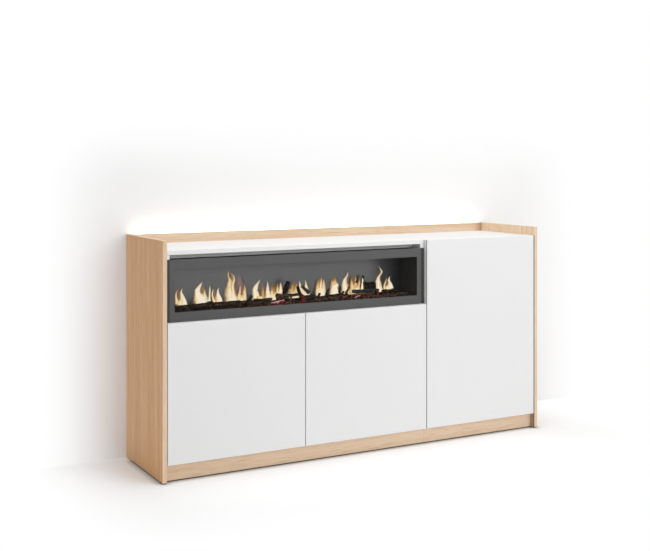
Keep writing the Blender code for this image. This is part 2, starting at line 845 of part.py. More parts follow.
def flame_rotor():
    """A thin shaft with small reflectors, each turned on from the last."""
    shaft = bmesh.new()
    add_rod(shaft, (rotor_left - shaft_end, rotor_y, rotor_z), (rotor_right + shaft_end, rotor_y, rotor_z),
            rotor_radius)
    obj = part("flame_rotor", shaft, bright_steel, (window_middle, rotor_y, rotor_z))
    flags = bmesh.new()
    pitch = (rotor_right - rotor_left) / rotor_flags
    for i in range(rotor_flags):
        x = rotor_left + (i + 0.5) * pitch
        turn = Matrix.Rotation(math.radians(i * rotor_flag_step), 4, "X")
        size = Matrix.Diagonal((rotor_flag_width, 2 * rotor_flag, rotor_flag_sheet, 1.0))
        place = Matrix.Translation((x, rotor_y, rotor_z)) @ turn @ size
        bmesh.ops.create_cube(flags, size=1.0, matrix=place)
    fuse(obj, flags)


def rotor_bracket():
    """A strip on the case's floor with an ear at each end that carries the shaft."""
    half = bearing_width / 2
    bm = bmesh.new()
    add_box(bm, (rotor_left - bearing_sheet, rotor_y - half, case_floor),
            (rotor_right + bearing_sheet, rotor_y + half, case_floor + bearing_sheet))
    obj = part("rotor_bracket", bm, grey_steel)
    ears, bores = bmesh.new(), bmesh.new()
    for x in (rotor_left - bearing_sheet, rotor_right):
        add_box(ears, (x, rotor_y - half, case_floor), (x + bearing_sheet, rotor_y + half, rotor_z + half))
        add_rod(bores, (x - bearing_sheet, rotor_y, rotor_z), (x + 2 * bearing_sheet, rotor_y, rotor_z),
                rotor_radius + running_gap)
    fuse(obj, ears)
    cut(obj, bores)


def rotor_motor():
    """Drives the rotor's right end; its foot stands on the case."""
    start = rotor_right + shaft_end + seam
    bm = bmesh.new()
    add_rod(bm, (start, rotor_y, rotor_z), (start + motor_length, rotor_y, rotor_z), motor_radius,
            large_sides)
    obj = part("rotor_motor", bm, grey_steel, smooth=True)
    foot = bmesh.new()
    add_box(foot, (start + motor_foot_inset, rotor_y - bearing_width / 2, case_floor),
            (start + motor_length - motor_foot_inset, rotor_y + bearing_width / 2,
             rotor_z - motor_radius / 2))
    fuse(obj, foot)


blower_left = window_middle - blower_length / 2
blower_right = window_middle + blower_length / 2


def blower_rod(bm, start_x, end_x, radius, sides=small_sides):
    add_rod(bm, (start_x, blower_y, blower_z), (end_x, blower_y, blower_z), radius, sides)


def blower_wheel():
    """A crossflow wheel: blades in a ring between two end discs, on a shaft."""
    shaft = bmesh.new()
    blower_rod(shaft, blower_left - blower_shaft_end, blower_right + blower_shaft_end, blower_shaft_radius)
    obj = part("blower_wheel", shaft, black_plastic, (window_middle, blower_y, blower_z))
    ends = bmesh.new()
    for x in (blower_left, blower_right - blower_end_sheet):
        blower_rod(ends, x, x + blower_end_sheet, blower_radius, large_sides)
    fuse(obj, ends)
    blades = bmesh.new()
    ring = blower_radius - blower_blade_depth / 2 - blower_blade_sheet
    lean = Matrix.Rotation(math.radians(blower_blade_lean), 4, "X")
    size = Matrix.Diagonal((blower_length - blower_end_sheet, blower_blade_depth, blower_blade_sheet, 1.0))
    for i in range(blower_blades):
        turn = Matrix.Rotation(2 * math.pi * i / blower_blades, 4, "X")
        axis = Matrix.Translation((window_middle, blower_y, blower_z))
        bmesh.ops.create_cube(blades, size=1.0,
                              matrix=axis @ turn @ Matrix.Translation((0, ring, 0)) @ lean @ size)
    fuse(obj, blades)


def blower_housing():
    """A scroll hung from the case's roof, open to the heater in front, its motor on the right end."""
    reach = blower_radius + blower_housing_gap
    sheet = blower_housing_sheet
    low = (blower_left - blower_end_gap, blower_y - reach - sheet, blower_z - reach - sheet)
    high = (blower_right + blower_end_gap, blower_y + reach + sheet, case_roof)
    bm = bmesh.new()
    add_box(bm, low, high)
    obj = part("blower_housing", bm, grey_steel)
    hollow = bmesh.new()
    blower_rod(hollow, low[0] + sheet, high[0] - sheet, reach, large_sides)
    cut(obj, hollow)
    mouth = bmesh.new()
    add_box(mouth, (low[0] + sheet, low[1] - cutter_reach, blower_z - blower_mouth_drop),
            (high[0] - sheet, blower_y - blower_mouth_lip, blower_z + reach - blower_mouth_top))
    cut(obj, mouth)
    intake = bmesh.new()
    add_box(intake, (low[0] + sheet, blower_y + blower_mouth_lip, low[2] - cutter_reach),
            (high[0] - sheet, high[1] + cutter_reach, blower_z - blower_intake_drop))
    cut(obj, intake)
    motor = bmesh.new()
    blower_rod(motor, high[0] - sheet / 2, high[0] + blower_motor_length, blower_motor_radius, large_sides)
    fuse(obj, motor)
    bore = bmesh.new()
    blower_rod(bore, low[0] - cutter_reach, blower_right + blower_shaft_end + blower_end_gap,
               blower_shaft_radius + running_gap)
    cut(obj, bore)


def heating_element():
    """A slotted ceramic bar in the air stream, hung from the case's roof by its end tabs."""
    low = (blower_left, screen_back + heater_behind_screen, case_roof - heater_below_roof - heater_height)
    high = (blower_right, low[1] + heater_depth, low[2] + heater_height)
    bm = bmesh.new()
    add_box(bm, low, high)
    obj = part("heating_element", bm, ceramic)
    slots = bmesh.new()
    pitch = (blower_length - 2 * heater_end) / heater_slots
    for i in range(heater_slots):
        x = low[0] + heater_end + (i + 0.5) * pitch
        add_box(slots, (x - heater_slot_width / 2, low[1] - cutter_reach, low[2] + heater_rail),
                (x + heater_slot_width / 2, high[1] + cutter_reach, high[2] - heater_rail))
    cut(obj, slots)
    tabs = bmesh.new()
    for x in (low[0], high[0] - heater_tab_length):
        add_box(tabs, (x, low[1] + heater_tab_inset, high[2] - heater_rail / 2),
                (x + heater_tab_length, high[1] - heater_tab_inset, case_roof))
    fuse(obj, tabs)


def power_inlet():
    """One moulding that clips into the case's back: a socket below, a rocker's well above."""
    half_width, half_height = inlet_width / 2, inlet_height / 2
    rim_front = case_back + seam
    bm = bmesh.new()
    add_box(bm, (inlet_x - half_width, case_back - inlet_depth, inlet_z - half_height),
            (inlet_x + half_width, rim_front + inlet_rim_thickness / 2, inlet_z + half_height))
    obj = part("power_inlet", bm, black_plastic)
    rim = bmesh.new()
    add_box(rim, (inlet_x - half_width - inlet_rim, rim_front, inlet_z - half_height - inlet_rim),
            (inlet_x + half_width + inlet_rim, rim_front + inlet_rim_thickness,
             inlet_z + half_height + inlet_rim))
    fuse(obj, rim)
    hollows = bmesh.new()
    well = (rocker_z, rocker_width + rocker_gap, rocker_height + 2 * rocker_gap, rocker_well_depth)
    for z, wide, tall, deep in (well, (socket_z, socket_width, socket_height, socket_depth)):
        add_box(hollows, (inlet_x - wide / 2, case_back - deep, z - tall / 2),
                (inlet_x + wide / 2, case_back + cutter_reach, z + tall / 2))
    cut(obj, hollows)
    contacts = bmesh.new()
    for x, z in ((-contact_spread, -contact_shift), (0, contact_shift), (contact_spread, -contact_shift)):
        add_box(contacts,
                (inlet_x + x - contact_width / 2, case_back - socket_depth - contact_width / 2,
                 socket_z + z - contact_height / 2),
                (inlet_x + x + contact_width / 2, case_back - contact_recess,
                 socket_z + z + contact_height / 2))
    fuse(obj, contacts)


def power_rocker():
    """Two faces that meet at a ridge; at rest the upper half is pressed in."""
    half = rocker_height / 2 - rocker_gap
    tilt = math.radians(rocker_tilt)
    fall = half * math.tan(tilt)
    inner = half * rocker_body_share
    outline = [(-rocker_body, -inner), (-rocker_body, inner), (rocker_ridge - fall, half),
               (rocker_ridge, 0), (rocker_ridge - fall, -half)]
    stand = Matrix(((0, 0, 1, 0), (1, 0, 0, 0), (0, 1, 0, 0), (0, 0, 0, 1)))
    lean = Matrix.Rotation(tilt, 4, "X")
    bm = outline_prism("rocker", outline, rocker_width, lean @ stand, rocker_axis)
    part("power_rocker", bm, black_plastic, rocker_axis)


# Rear light behind the rail
def rear_light():
    """A lit strip stuck to the rail's back, just under its top edge."""
    start = rail_back + seam
    top = height - strip_below_rim
    panel("rear_light_strip", (left_inner + strip_end_gap, start, top - strip_height),
          (right_inner - strip_end_gap, start + strip_thickness, top), lit_diffuser)


outer_panels()
plinths()
rails()
carcass_sides()
fixed_boards()
top_boards()
centre_divider()
loose_shelves()
back_covers()
make_doors()
hinge_arms()
push_latches()
fireplace_frame()
fireplace_case()
front_glass()
firebox_liner()
flame_screen()
log_set()
ember_bed()
light_board()
flame_rotor()
rotor_bracket()
rotor_motor()
blower_wheel()
blower_housing()
heating_element()
power_inlet()
power_rocker()
rear_light()
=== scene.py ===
# Fireplace sideboard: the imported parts, finished and lit for a studio picture
import json
import math

import bmesh
import bpy
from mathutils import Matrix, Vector, noise


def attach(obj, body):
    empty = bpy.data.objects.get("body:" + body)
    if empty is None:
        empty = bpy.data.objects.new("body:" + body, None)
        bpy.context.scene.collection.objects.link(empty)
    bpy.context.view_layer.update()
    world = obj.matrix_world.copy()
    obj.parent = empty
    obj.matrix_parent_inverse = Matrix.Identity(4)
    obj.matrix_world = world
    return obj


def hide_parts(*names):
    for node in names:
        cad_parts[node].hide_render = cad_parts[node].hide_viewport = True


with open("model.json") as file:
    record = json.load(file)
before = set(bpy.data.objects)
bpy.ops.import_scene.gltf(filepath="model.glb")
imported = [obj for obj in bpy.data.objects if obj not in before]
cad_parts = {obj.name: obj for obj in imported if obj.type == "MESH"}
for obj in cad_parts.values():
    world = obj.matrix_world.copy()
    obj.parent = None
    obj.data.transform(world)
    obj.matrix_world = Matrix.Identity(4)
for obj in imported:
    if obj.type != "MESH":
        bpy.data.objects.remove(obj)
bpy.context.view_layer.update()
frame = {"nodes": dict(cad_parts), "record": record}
cad = frame["nodes"]

# Node helpers


def linear(*shades):
    # Screen shades 0..255 to the values that a shader takes
    return tuple(((s / 255 + 0.055) / 1.055) ** 2.4 if s > 10 else s / 255 / 12.92 for s in shades)


def feed(tree, node, sockets):
    # Each named or numbered input gets a fixed value, or a link from the output that feeds it
    for name, value in sockets.items():
        if isinstance(value, bpy.types.NodeSocket):
            tree.links.new(value, node.inputs[name])
        else:
            node.inputs[name].default_value = value


def addNode(tree, kind, sockets=None, **settings):
    node = tree.nodes.new(kind)
    for name, value in settings.items():
        setattr(node, name, value)
    feed(tree, node, sockets or {})
    return node


def calculate(tree, operation, first, second=None, kind="ShaderNodeMath"):
    values = {0: first} if second is None else {0: first, 1: second}
    return addNode(tree, kind, values, operation=operation).outputs[0]


def mapRange(tree, value, low, high, outLow=0.0, outHigh=1.0, smooth=False):
    return addNode(tree, "ShaderNodeMapRange", {
        "Value": value, "From Min": low, "From Max": high, "To Min": outLow, "To Max": outHigh,
    }, interpolation_type="SMOOTHSTEP" if smooth else "LINEAR").outputs["Result"]


def mixColour(tree, factor, first, second):
    # A tuple is a fixed colour
    first, second = ((*value, 1) if isinstance(value, tuple) else value for value in (first, second))
    return addNode(tree, "ShaderNodeMix", {0: factor, 6: first, 7: second}, data_type="RGBA").outputs[2]


def mixTones(tree, factor, tones):
    # Between two screen shades
    return mixColour(tree, factor, linear(*tones[0]), linear(*tones[1]))


def mixShaders(tree, factor, first, second):
    return addNode(tree, "ShaderNodeMixShader", {0: factor, 1: first, 2: second}).outputs[0]


def ramp(tree, factor, stops):
    # A colour ramp from stops of a place and a screen shade
    node = addNode(tree, "ShaderNodeValToRGB", {"Fac": factor})
    elements = node.color_ramp.elements
    for index, (place, shade) in enumerate(stops):
        element = elements[index] if index < 2 else elements.new(place)
        element.position = place
        element.color = (*linear(*shade), 1)
    return node.outputs["Color"]


def bump(tree, height, strength, distance):
    return addNode(tree, "ShaderNodeBump", {
        "Height": height, "Strength": strength, "Distance": distance}).outputs["Normal"]


def coordinate(tree, output, axis):
    place = addNode(tree, "ShaderNodeTexCoord").outputs[output]
    return addNode(tree, "ShaderNodeSeparateXYZ", {0: place}).outputs[axis]


def attribute(tree, name):
    return addNode(tree, "ShaderNodeAttribute", attribute_name=name).outputs["Fac"]


def objectPlace(tree, stretch=(1, 1, 1)):
    place = addNode(tree, "ShaderNodeTexCoord").outputs["Object"]
    return addNode(tree, "ShaderNodeMapping", {"Vector": place, "Scale": stretch}).outputs["Vector"]


def newTree(name, kind, inputs, outputs):
    # A node group; each socket is its name, what it holds and, for an input, its usual value
    tree = bpy.data.node_groups.new(name, kind)
    for label, holds, value in inputs:
        socket = tree.interface.new_socket(label, in_out="INPUT", socket_type="NodeSocket" + holds)
        if value is not None:
            socket.default_value = value
    for label, holds in outputs:
        tree.interface.new_socket(label, in_out="OUTPUT", socket_type="NodeSocket" + holds)
    return tree, addNode(tree, "NodeGroupInput").outputs, addNode(tree, "NodeGroupOutput")


def emptyTree(owner):
    owner.use_nodes = True
    owner.node_tree.nodes.clear()
    return owner.node_tree


def addObject(name, data):
    thing = bpy.data.objects.new(name, data)
    bpy.context.scene.collection.objects.link(thing)
    return thing


# Camera, lamps, floor

studio = {
    "cameraPlace": (-2.0593, -3.3268, 1.0633),
    "cameraTurn": (math.radians(90), 0, -0.4709),
    "sensor": 36,
    "lens": 57.11,
    "shift": (0.10545, -0.17689),
    "floorSize": 24,
    "floorShade": 0.90,
    "wall": (2.2, 0.1765, 2.4),
    "lightStop": (0.783, 0.160, 0.058),
    "stopShade": (0.05, 0.04, 0.03, 1),
    # Shade to the eye, then the middle and half size that keep their shadow, how far it fades out
    # beyond, and for a contact shade its reach and the Y where it starts to end and has ended
    "floorFade": {"shade": 1.0, "centre": (-0.03, -0.10, 0), "core": (0.78, 0.25, 1),
                  "reach": (0.36, 0.42, 1), "contact": (0.030, 0.125, 0.145)},
    "wallFade": {"shade": 0.91, "centre": (0.12, 0, 0), "core": (0.86, 1, 0.96), "reach": (0.38, 1, 0.27)},
    "ambient": 0.44,
    # name: place, aimed at, width, height, watts
    "lamps": {
        "keyLamp": ((2.6, -4.0, 2.2), (0.0, 0.0, 0.35), 2.6, 2.2, 52),
        "frontLamp": ((0.7, -4.6, 1.6), (0.0, 0.0, 0.40), 3.0, 2.0, 19),
        "topLamp": ((0.0, -0.6, 3.2), (0.0, 0.0, 0.0), 3.2, 2.4, 52),
    },
}


def makeCamera():
    data = bpy.data.cameras.new("camera")
    data.sensor_width = studio["sensor"]
    data.lens = studio["lens"]
    data.shift_x, data.shift_y = studio["shift"]
    camera = addObject("camera", data)
    camera.location = studio["cameraPlace"]
    camera.rotation_euler = studio["cameraTurn"]
    bpy.context.scene.camera = camera


def makeLamps():
    for name, (place, target, width, height, watts) in studio["lamps"].items():
        data = bpy.data.lights.new(name, "AREA")
        data.shape = "RECTANGLE"
        data.size, data.size_y = width, height
        data.energy = watts
        lamp = addObject(name, data)
        lamp.location = place
        lamp.rotation_euler = (Vector(target) - Vector(place)).to_track_quat("-Z", "Y").to_euler()


def seenRay(tree):
    # 1 for what the camera sees, straight or in a reflection or through glass
    rays = addNode(tree, "ShaderNodeLightPath").outputs
    seen = calculate(tree, "MAXIMUM", rays["Is Camera Ray"], rays["Is Glossy Ray"])
    return calculate(tree, "MAXIMUM", seen, rays["Is Transmission Ray"])


def makeWorld():
    world = bpy.data.worlds.new("paleStudio")
    bpy.context.scene.world = world
    tree = emptyTree(world)
    soft, white = (addNode(tree, "ShaderNodeBackground", {"Color": (1, 1, 1, 1), "Strength": strength})
                   for strength in (studio["ambient"], 1))
    surface = mixShaders(tree, seenRay(tree), soft.outputs[0], white.outputs[0])
    addNode(tree, "ShaderNodeOutputWorld", {"Surface": surface})


def addSheet(name, corners):
    # One flat face with an empty material
    mesh = bpy.data.meshes.new(name)
    mesh.from_pydata(corners, [], [(0, 1, 2, 3)])
    material = bpy.data.materials.new(name)
    mesh.materials.append(material)
    return addObject(name, mesh), emptyTree(material)


def makeBackdrop(name, corners, fade, oneSided):
    # A pale surface that keeps the cabinet's soft shadow and turns white away from it. A one-sided
    # one shows only to a camera in front of it and lets all light through.
    backdrop, tree = addSheet(name, corners)
    seen = seenRay(tree)
    shade = mapRange(tree, seen, 0, 1, studio["floorShade"], fade["shade"])
    matt = addNode(tree, "ShaderNodeBsdfDiffuse", {"Color": shade})
    if "contact" in fade:
        # Darker right under the plinth, but not in the corner with the wall
        reach, full, none = fade["contact"]
        contact = addNode(tree, "ShaderNodeAmbientOcclusion", {"Distance": reach, "Color": shade})
        corner = mapRange(tree, coordinate(tree, "Object", "Y"), full, none)
        feed(tree, matt, {"Color": mixColour(tree, corner, contact.outputs["Color"], shade)})
    outside = addNode(tree, "ShaderNodeTexCoord").outputs["Object"]
    for operation, value in (("SUBTRACT", fade["centre"]), ("ABSOLUTE", None), ("SUBTRACT", fade["core"]),
                             ("MAXIMUM", (0, 0, 0)), ("DIVIDE", fade["reach"])):
        outside = calculate(tree, operation, outside, value, "ShaderNodeVectorMath")
    distance = addNode(tree, "ShaderNodeVectorMath", {0: outside}, operation="LENGTH").outputs["Value"]
    whiten = calculate(tree, "MULTIPLY", mapRange(tree, distance, 0, 1, smooth=True), seen)
    glow = addNode(tree, "ShaderNodeEmission")
    surface = mixShaders(tree, whiten, matt.outputs[0], glow.outputs[0])
    if oneSided:
        straight = addNode(tree, "ShaderNodeLightPath").outputs["Is Camera Ray"]
        behind = addNode(tree, "ShaderNodeNewGeometry").outputs["Backfacing"]
        clear = addNode(tree, "ShaderNodeBsdfTransparent")
        surface = mixShaders(tree, calculate(tree, "SUBTRACT", straight, behind), clear.outputs[0], surface)
    addNode(tree, "ShaderNodeOutputMaterial", {"Surface": surface})


def upright(x, y, z):
    return [(-x, y, 0), (x, y, 0), (x, y, z), (-x, y, z)]


def makeStage():
    half = studio["floorSize"] / 2
    makeBackdrop("paleFloor", [(-half, -half, 0), (half, -half, 0), (half, half, 0), (-half, half, 0)],
                 studio["floorFade"], False)
    makeBackdrop("paleWall", upright(*studio["wall"]), studio["wallFade"], True)
    # No light comes from the wall's side under the cabinet. Unseen by the camera.
    stop, tree = addSheet("lightStop", upright(*studio["lightStop"]))
    straight = addNode(tree, "ShaderNodeLightPath").outputs["Is Camera Ray"]
    dark = addNode(tree, "ShaderNodeBsdfDiffuse", {"Color": studio["stopShade"]})
    clear = addNode(tree, "ShaderNodeBsdfTransparent")
    addNode(tree, "ShaderNodeOutputMaterial", {
        "Surface": mixShaders(tree, straight, dark.outputs[0], clear.outputs[0])})


makeCamera()
makeLamps()
makeWorld()
makeStage()
bpy.context.scene.view_settings.view_transform = "Standard"
print("studio ready")

# Patterns that several finishes share, and the parts of their range that finishes use

patterns = {
    # each noise by the input that scales it: detail and roughness
    "streaks": {"Fine": (3, 0.6), "Broad": (4, 0.55), "Pores": (1, 0.5)},
    "fineShare": 0.42,
    "poreFrom": (0.60, 0.72),
    # the same: detail and output
    "speckle": {"Size": (2, "Grain"), "Patch": (3, "Patch")},
    "grainSpan": (0.35, 0.65),
    "span": (0.3, 0.7),
    "relief": 0.0002,
}


def makeStreaks():
    # Fine and broad streaks with short pores, along the axis that the material has stretched
    tree, start, end = newTree(
        "streaks", "ShaderNodeTree",
        (("Vector", "Vector", None), ("Fine", "Float", 300.0), ("Broad", "Float", 40.0),
         ("Pores", "Float", 700.0)),
        (("Tone", "Float"), ("Pore", "Float"), ("Height", "Float")))
    fine, broad, pores = (addNode(tree, "ShaderNodeTexNoise", {
        "Vector": start["Vector"], "Scale": start[label], "Detail": detail, "Roughness": rough,
    }).outputs["Fac"] for label, (detail, rough) in patterns["streaks"].items())
    tone = addNode(tree, "ShaderNodeMix", {
        "Factor": patterns["fineShare"], "A": broad, "B": fine}).outputs["Result"]
    pore = mapRange(tree, pores, *patterns["poreFrom"])
    feed(tree, end, {"Tone": tone, "Pore": pore, "Height": calculate(tree, "SUBTRACT", tone, pore)})
    return tree


def makeSpeckle():
    # Small texture of paint, foil or moulding over slow patches where hands and dust change the sheen
    tree, start, end = newTree(
        "speckle", "ShaderNodeTree",
        (("Vector", "Vector", None), ("Size", "Float", 600.0), ("Patch", "Float", 6.0)),
        (("Grain", "Float"), ("Patch", "Float")))
    for label, (detail, target) in patterns["speckle"].items():
        texture = addNode(tree, "ShaderNodeTexNoise", {
            "Vector": start["Vector"], "Scale": start[label], "Detail": detail})
        feed(tree, end, {target: texture.outputs["Fac"]})
    return tree


streaks = makeStreaks()
speckle = makeSpeckle()


def newFinish(name):
    material = bpy.data.materials.new(name)
    material.use_nodes = True
    return material, material.node_tree, material.node_tree.nodes["Principled BSDF"]


def useGroup(tree, group, vector, **values):
    return addNode(tree, "ShaderNodeGroup", {"Vector": vector, **values}, node_tree=group).outputs


def sheen(tree, pattern, rough):
    # Roughness that follows a pattern
    return mapRange(tree, pattern, *patterns["span"], *rough)


# Finishes of boards, metal and plastic: two tones, texture size, stretch, roughness range, bump

plainFinishes = {
    "white_board": dict(tones=((233, 233, 232), (238, 238, 237)), size=900, rough=(0.40, 0.52), bump=0.10),
    "white_front": dict(tones=((233, 233, 233), (236, 236, 236)), size=700, rough=(0.34, 0.46), bump=0.06),
    "dark_steel": dict(tones=((70, 70, 70), (80, 80, 80)), size=1500, rough=(0.48, 0.62), bump=0.25),
    "grey_steel": dict(tones=((150, 152, 154), (178, 180, 182)), size=500, stretch=(0.05, 1, 1),
                       rough=(0.32, 0.48), bump=0.08, metallic=0.85),
    "bright_steel": dict(tones=((200, 200, 202), (222, 222, 224)), size=600, stretch=(1, 1, 0.1),
                         rough=(0.20, 0.32), bump=0.05, metallic=1.0),
    "black_plastic": dict(tones=((28, 28, 28), (40, 40, 41)), size=1400, rough=(0.40, 0.55), bump=0.20),
    "grey_plastic": dict(tones=((160, 161, 163), (176, 177, 179)), size=1200, rough=(0.42, 0.55), bump=0.12),
    "circuit_board": dict(tones=((14, 62, 34), (30, 96, 54)), size=260, rough=(0.25, 0.40), bump=0.10),
    "heater_ceramic": dict(tones=((196, 188, 174), (222, 216, 204)), size=700, rough=(0.60, 0.80), bump=0.30),
    "shield_paint": dict(tones=((226, 226, 226), (236, 236, 236)), size=1200, rough=(0.45, 0.6), bump=0.15),
    "liner_steel": dict(tones=((24, 23, 22), (34, 32, 31)), size=1500, rough=(0.60, 0.75), bump=0.25),
}


def makePlainFinish(name, settings):
    material, tree, shader = newFinish(name)
    vector = objectPlace(tree, settings.get("stretch", (1, 1, 1)))
    grain = useGroup(tree, speckle, vector, Size=settings["size"])
    tone = mixTones(tree, mapRange(tree, grain["Grain"], *patterns["grainSpan"]), settings["tones"])
    feed(tree, shader, {
        "Base Color": tone, "Metallic": settings.get("metallic", 0.0),
        "Roughness": sheen(tree, grain["Patch"], settings["rough"]),
        "Normal": bump(tree, grain["Grain"], settings["bump"], patterns["relief"])})
    return material, tree, shader, tone


finishes = {name: makePlainFinish(name, settings)[0] for name, settings in plainFinishes.items()}
# Copies of the door finish for the middle and right doors, which get painted shade at the door gaps
for name in ("white_front_right_painted_shade", "white_front_middle_painted_shade"):
    finishes[name] = makePlainFinish(name, plainFinishes["white_front"])[0]

# Light oak decor: grain up the outer panels, along the plinths and rails

oak = {
    # broad-face tones: the warm ones are the faces' own tone, partly warmed as painted shade; the pale ones
    # are a painted-light copy of the same oak, for the right panel
    "warmTones": ((0.30, (204, 146, 94)), (0.44, (222, 168, 115)), (0.56, (232, 181, 128)),
                  (0.70, (240, 197, 150))),
    "litTones": ((0.30, (234, 199, 163)), (0.44, (246, 215, 180)), (0.56, (251, 225, 193)),
                  (0.70, (253, 235, 209))),
    "bandTones": ((0.32, (220, 189, 156)), (0.68, (240, 214, 186))),
    "railTones": ((0.32, (208, 178, 146)), (0.68, (228, 204, 178))),
    "grain": {"Fine": 420.0, "Broad": 60.0, "Pores": 520.0},
    "upright": (1, 1, 0.03),
    "lying": (0.03, 1, 1),
    "faceFrom": (0.5, 0.9),
    "poreShade": (178, 138, 102),
    "poreDepth": 0.45,
    "glideShade": (206, 206, 204),
    "glideTop": 0.0031,
    "rough": (0.58, 0.46),
    "bump": 0.25,
    # name: way of the grain, tones of the broad face, tones of the edge bands
    "boards": {
        "oak_upright": ("upright", "warmTones", "bandTones"),
        "oak_upright_pale": ("upright", "litTones", "bandTones"),
        "oak_plinth": ("lying", "bandTones", "bandTones"),
        "oak_rail": ("lying", "railTones", "railTones"),
    },
}


def makeOak(name, way, faceTones, bandTones):
    material, tree, shader = newFinish(name)
    grain = useGroup(tree, streaks, objectPlace(tree, oak[way]), **oak["grain"])
    face, band = (ramp(tree, grain["Tone"], oak[tones]) for tones in (faceTones, bandTones))
    side = calculate(tree, "ABSOLUTE", coordinate(tree, "Normal", "X"))
    colour = mixColour(tree, mapRange(tree, side, *oak["faceFrom"]), band, face)
    pore = calculate(tree, "MULTIPLY", grain["Pore"], oak["poreDepth"])
    colour = mixColour(tree, pore, colour, linear(*oak["poreShade"]))
    glide = calculate(tree, "LESS_THAN", coordinate(tree, "Object", "Z"), oak["glideTop"])
    feed(tree, shader, {
        "Base Color": mixColour(tree, glide, colour, linear(*oak["glideShade"])),
        "Roughness": sheen(tree, grain["Tone"], oak["rough"]),
        "Normal": bump(tree, grain["Height"], oak["bump"], patterns["relief"])})
    return material


for name, look in oak["boards"].items():
    finishes[name] = makeOak(name, *look)
print("finishes ready")

# Glowing and clear finishes. A range is the input's from and to, then the output's from and to.

screen = {
    "grain": {"Size": 300.0, "Patch": 9.0},
    "tones": ((0.004, 0.004, 0.004), (0.008, 0.007, 0.007)),
    "rough": (0.31, 0.36),
    "hazier": (0.02, 0.17, 0.0, 0.09),
    "coatFades": (0.07, 0.15, 1.0, 0.0),
    "fixed": {"IOR": 1.62, "Coat IOR": 1.69, "Coat Roughness": 0.34},
}


def makeScreen():
    # Smoked screen behind the logs, hazier and less glossy to the right
    material, tree, shader = newFinish("smoked_screen")
    along = coordinate(tree, "Object", "X")
    grain = useGroup(tree, speckle, objectPlace(tree), **screen["grain"])
    feed(tree, shader, {
        "Base Color": mixColour(tree, grain["Patch"], *screen["tones"]),
        "Roughness": calculate(tree, "ADD", mapRange(tree, along, *screen["hazier"], smooth=True),
                               sheen(tree, grain["Patch"], screen["rough"])),
        "Coat Weight": mapRange(tree, along, *screen["coatFades"], smooth=True), **screen["fixed"]})
    return material


glass = {
    "grain": {"Size": 40.0, "Patch": 5.0},
    "rough": (0.02, 0.07),
    "fixed": {"Base Color": (0.02, 0.022, 0.022, 1), "Alpha": 0.06},
}


def makeGlass():
    material, tree, shader = newFinish("clear_glass")
    grain = useGroup(tree, speckle, objectPlace(tree), **glass["grain"])
    feed(tree, shader, {"Roughness": sheen(tree, grain["Patch"], glass["rough"]), **glass["fixed"]})
    return material


diffuser = {
    "spotsPerMetre": 60.0,
    "light": ((253, 240, 220), (255, 250, 240)),
    "size": 900.0,
    "tones": ((236, 234, 228), (246, 245, 240)),
    "fixed": {"Emission Strength": 34, "Roughness": 0.4},
}


def makeDiffuser():
    # Milky strip with a soft spot over each diode
    material, tree, shader = newFinish("lit_diffuser")
    along = calculate(tree, "MULTIPLY", coordinate(tree, "Object", "X"),
                      diffuser["spotsPerMetre"] * 2 * math.pi)
    spot = mapRange(tree, calculate(tree, "COSINE", along), -1.0, 1.0)
    grain = useGroup(tree, speckle, objectPlace(tree), Size=diffuser["size"])
    feed(tree, shader, {"Emission Color": mixTones(tree, spot, diffuser["light"]),
                        "Base Color": mixTones(tree, grain["Grain"], diffuser["tones"]), **diffuser["fixed"]})
    return material


bark = {
    "streaks": {"Fine": 420.0, "Broad": 130.0, "Pores": 380.0},
    "speckle": {"Size": 340.0, "Patch": 95.0},
    "stops": (0.36, 0.50, 0.60, 0.70),
    "char": ((5, 3, 2), (24, 14, 8), (64, 42, 24), (122, 88, 54)),
    "brown": ((36, 25, 17), (92, 68, 48), (138, 110, 80), (190, 164, 132)),
    "moss": ((20, 24, 23), (52, 60, 57), (80, 88, 84), (138, 140, 134)),
    "sawn": ((0.38, (92, 72, 56)), (0.62, (190, 170, 148))),
    "ember": ((0.08, (0, 0, 0)), (0.28, (72, 8, 14)), (0.50, (146, 22, 42)), (0.68, (196, 84, 106)),
              (0.84, (236, 200, 202))),
    "patches": (0.44, 0.58, 0.0, 0.8),
    "patchesFrom": (0.0, 0.30),
    "brownFrom": (0.1, 0.6, 0.0, 0.8),
    "mossFrom": (0.60, 0.85),
    "cracks": (0.34, 0.54),
    "rough": (0.95, 0.7),
    "bump": (0.8, 0.0016),
    "fixed": {"Specular IOR Level": 0.15, "Emission Strength": 1.0},
}


def makeLogBark():
    # Char, brown and grey-green bark in patches, pale sawn ends, and embers where the piece glows
    material, tree, shader = newFinish("log_bark")
    vector = objectPlace(tree)
    grain = useGroup(tree, streaks, vector, **bark["streaks"])
    spots = useGroup(tree, speckle, vector, **bark["speckle"])
    tint, glow, sawn = (attribute(tree, name) for name in ("tint", "glow", "sawn"))
    char, brown, moss = (ramp(tree, grain["Tone"], zip(bark["stops"], bark[name]))
                         for name in ("char", "brown", "moss"))
    patch = calculate(tree, "MULTIPLY", mapRange(tree, spots["Patch"], *bark["patches"]),
                      mapRange(tree, tint, *bark["patchesFrom"]))
    browner = calculate(tree, "ADD", patch, mapRange(tree, tint, *bark["brownFrom"]))
    colour = mixColour(tree, browner, char, brown)
    colour = mixColour(tree, mapRange(tree, tint, *bark["mossFrom"]), colour, moss)
    ember = calculate(tree, "MULTIPLY", glow, mapRange(tree, spots["Grain"], *bark["cracks"], smooth=True))
    feed(tree, shader, {
        "Base Color": mixColour(tree, sawn, colour, ramp(tree, grain["Tone"], bark["sawn"])),
        "Roughness": sheen(tree, grain["Tone"], bark["rough"]),
        "Emission Color": ramp(tree, ember, bark["ember"]),
        "Normal": bump(tree, grain["Height"], *bark["bump"]), **bark["fixed"]})
    return material


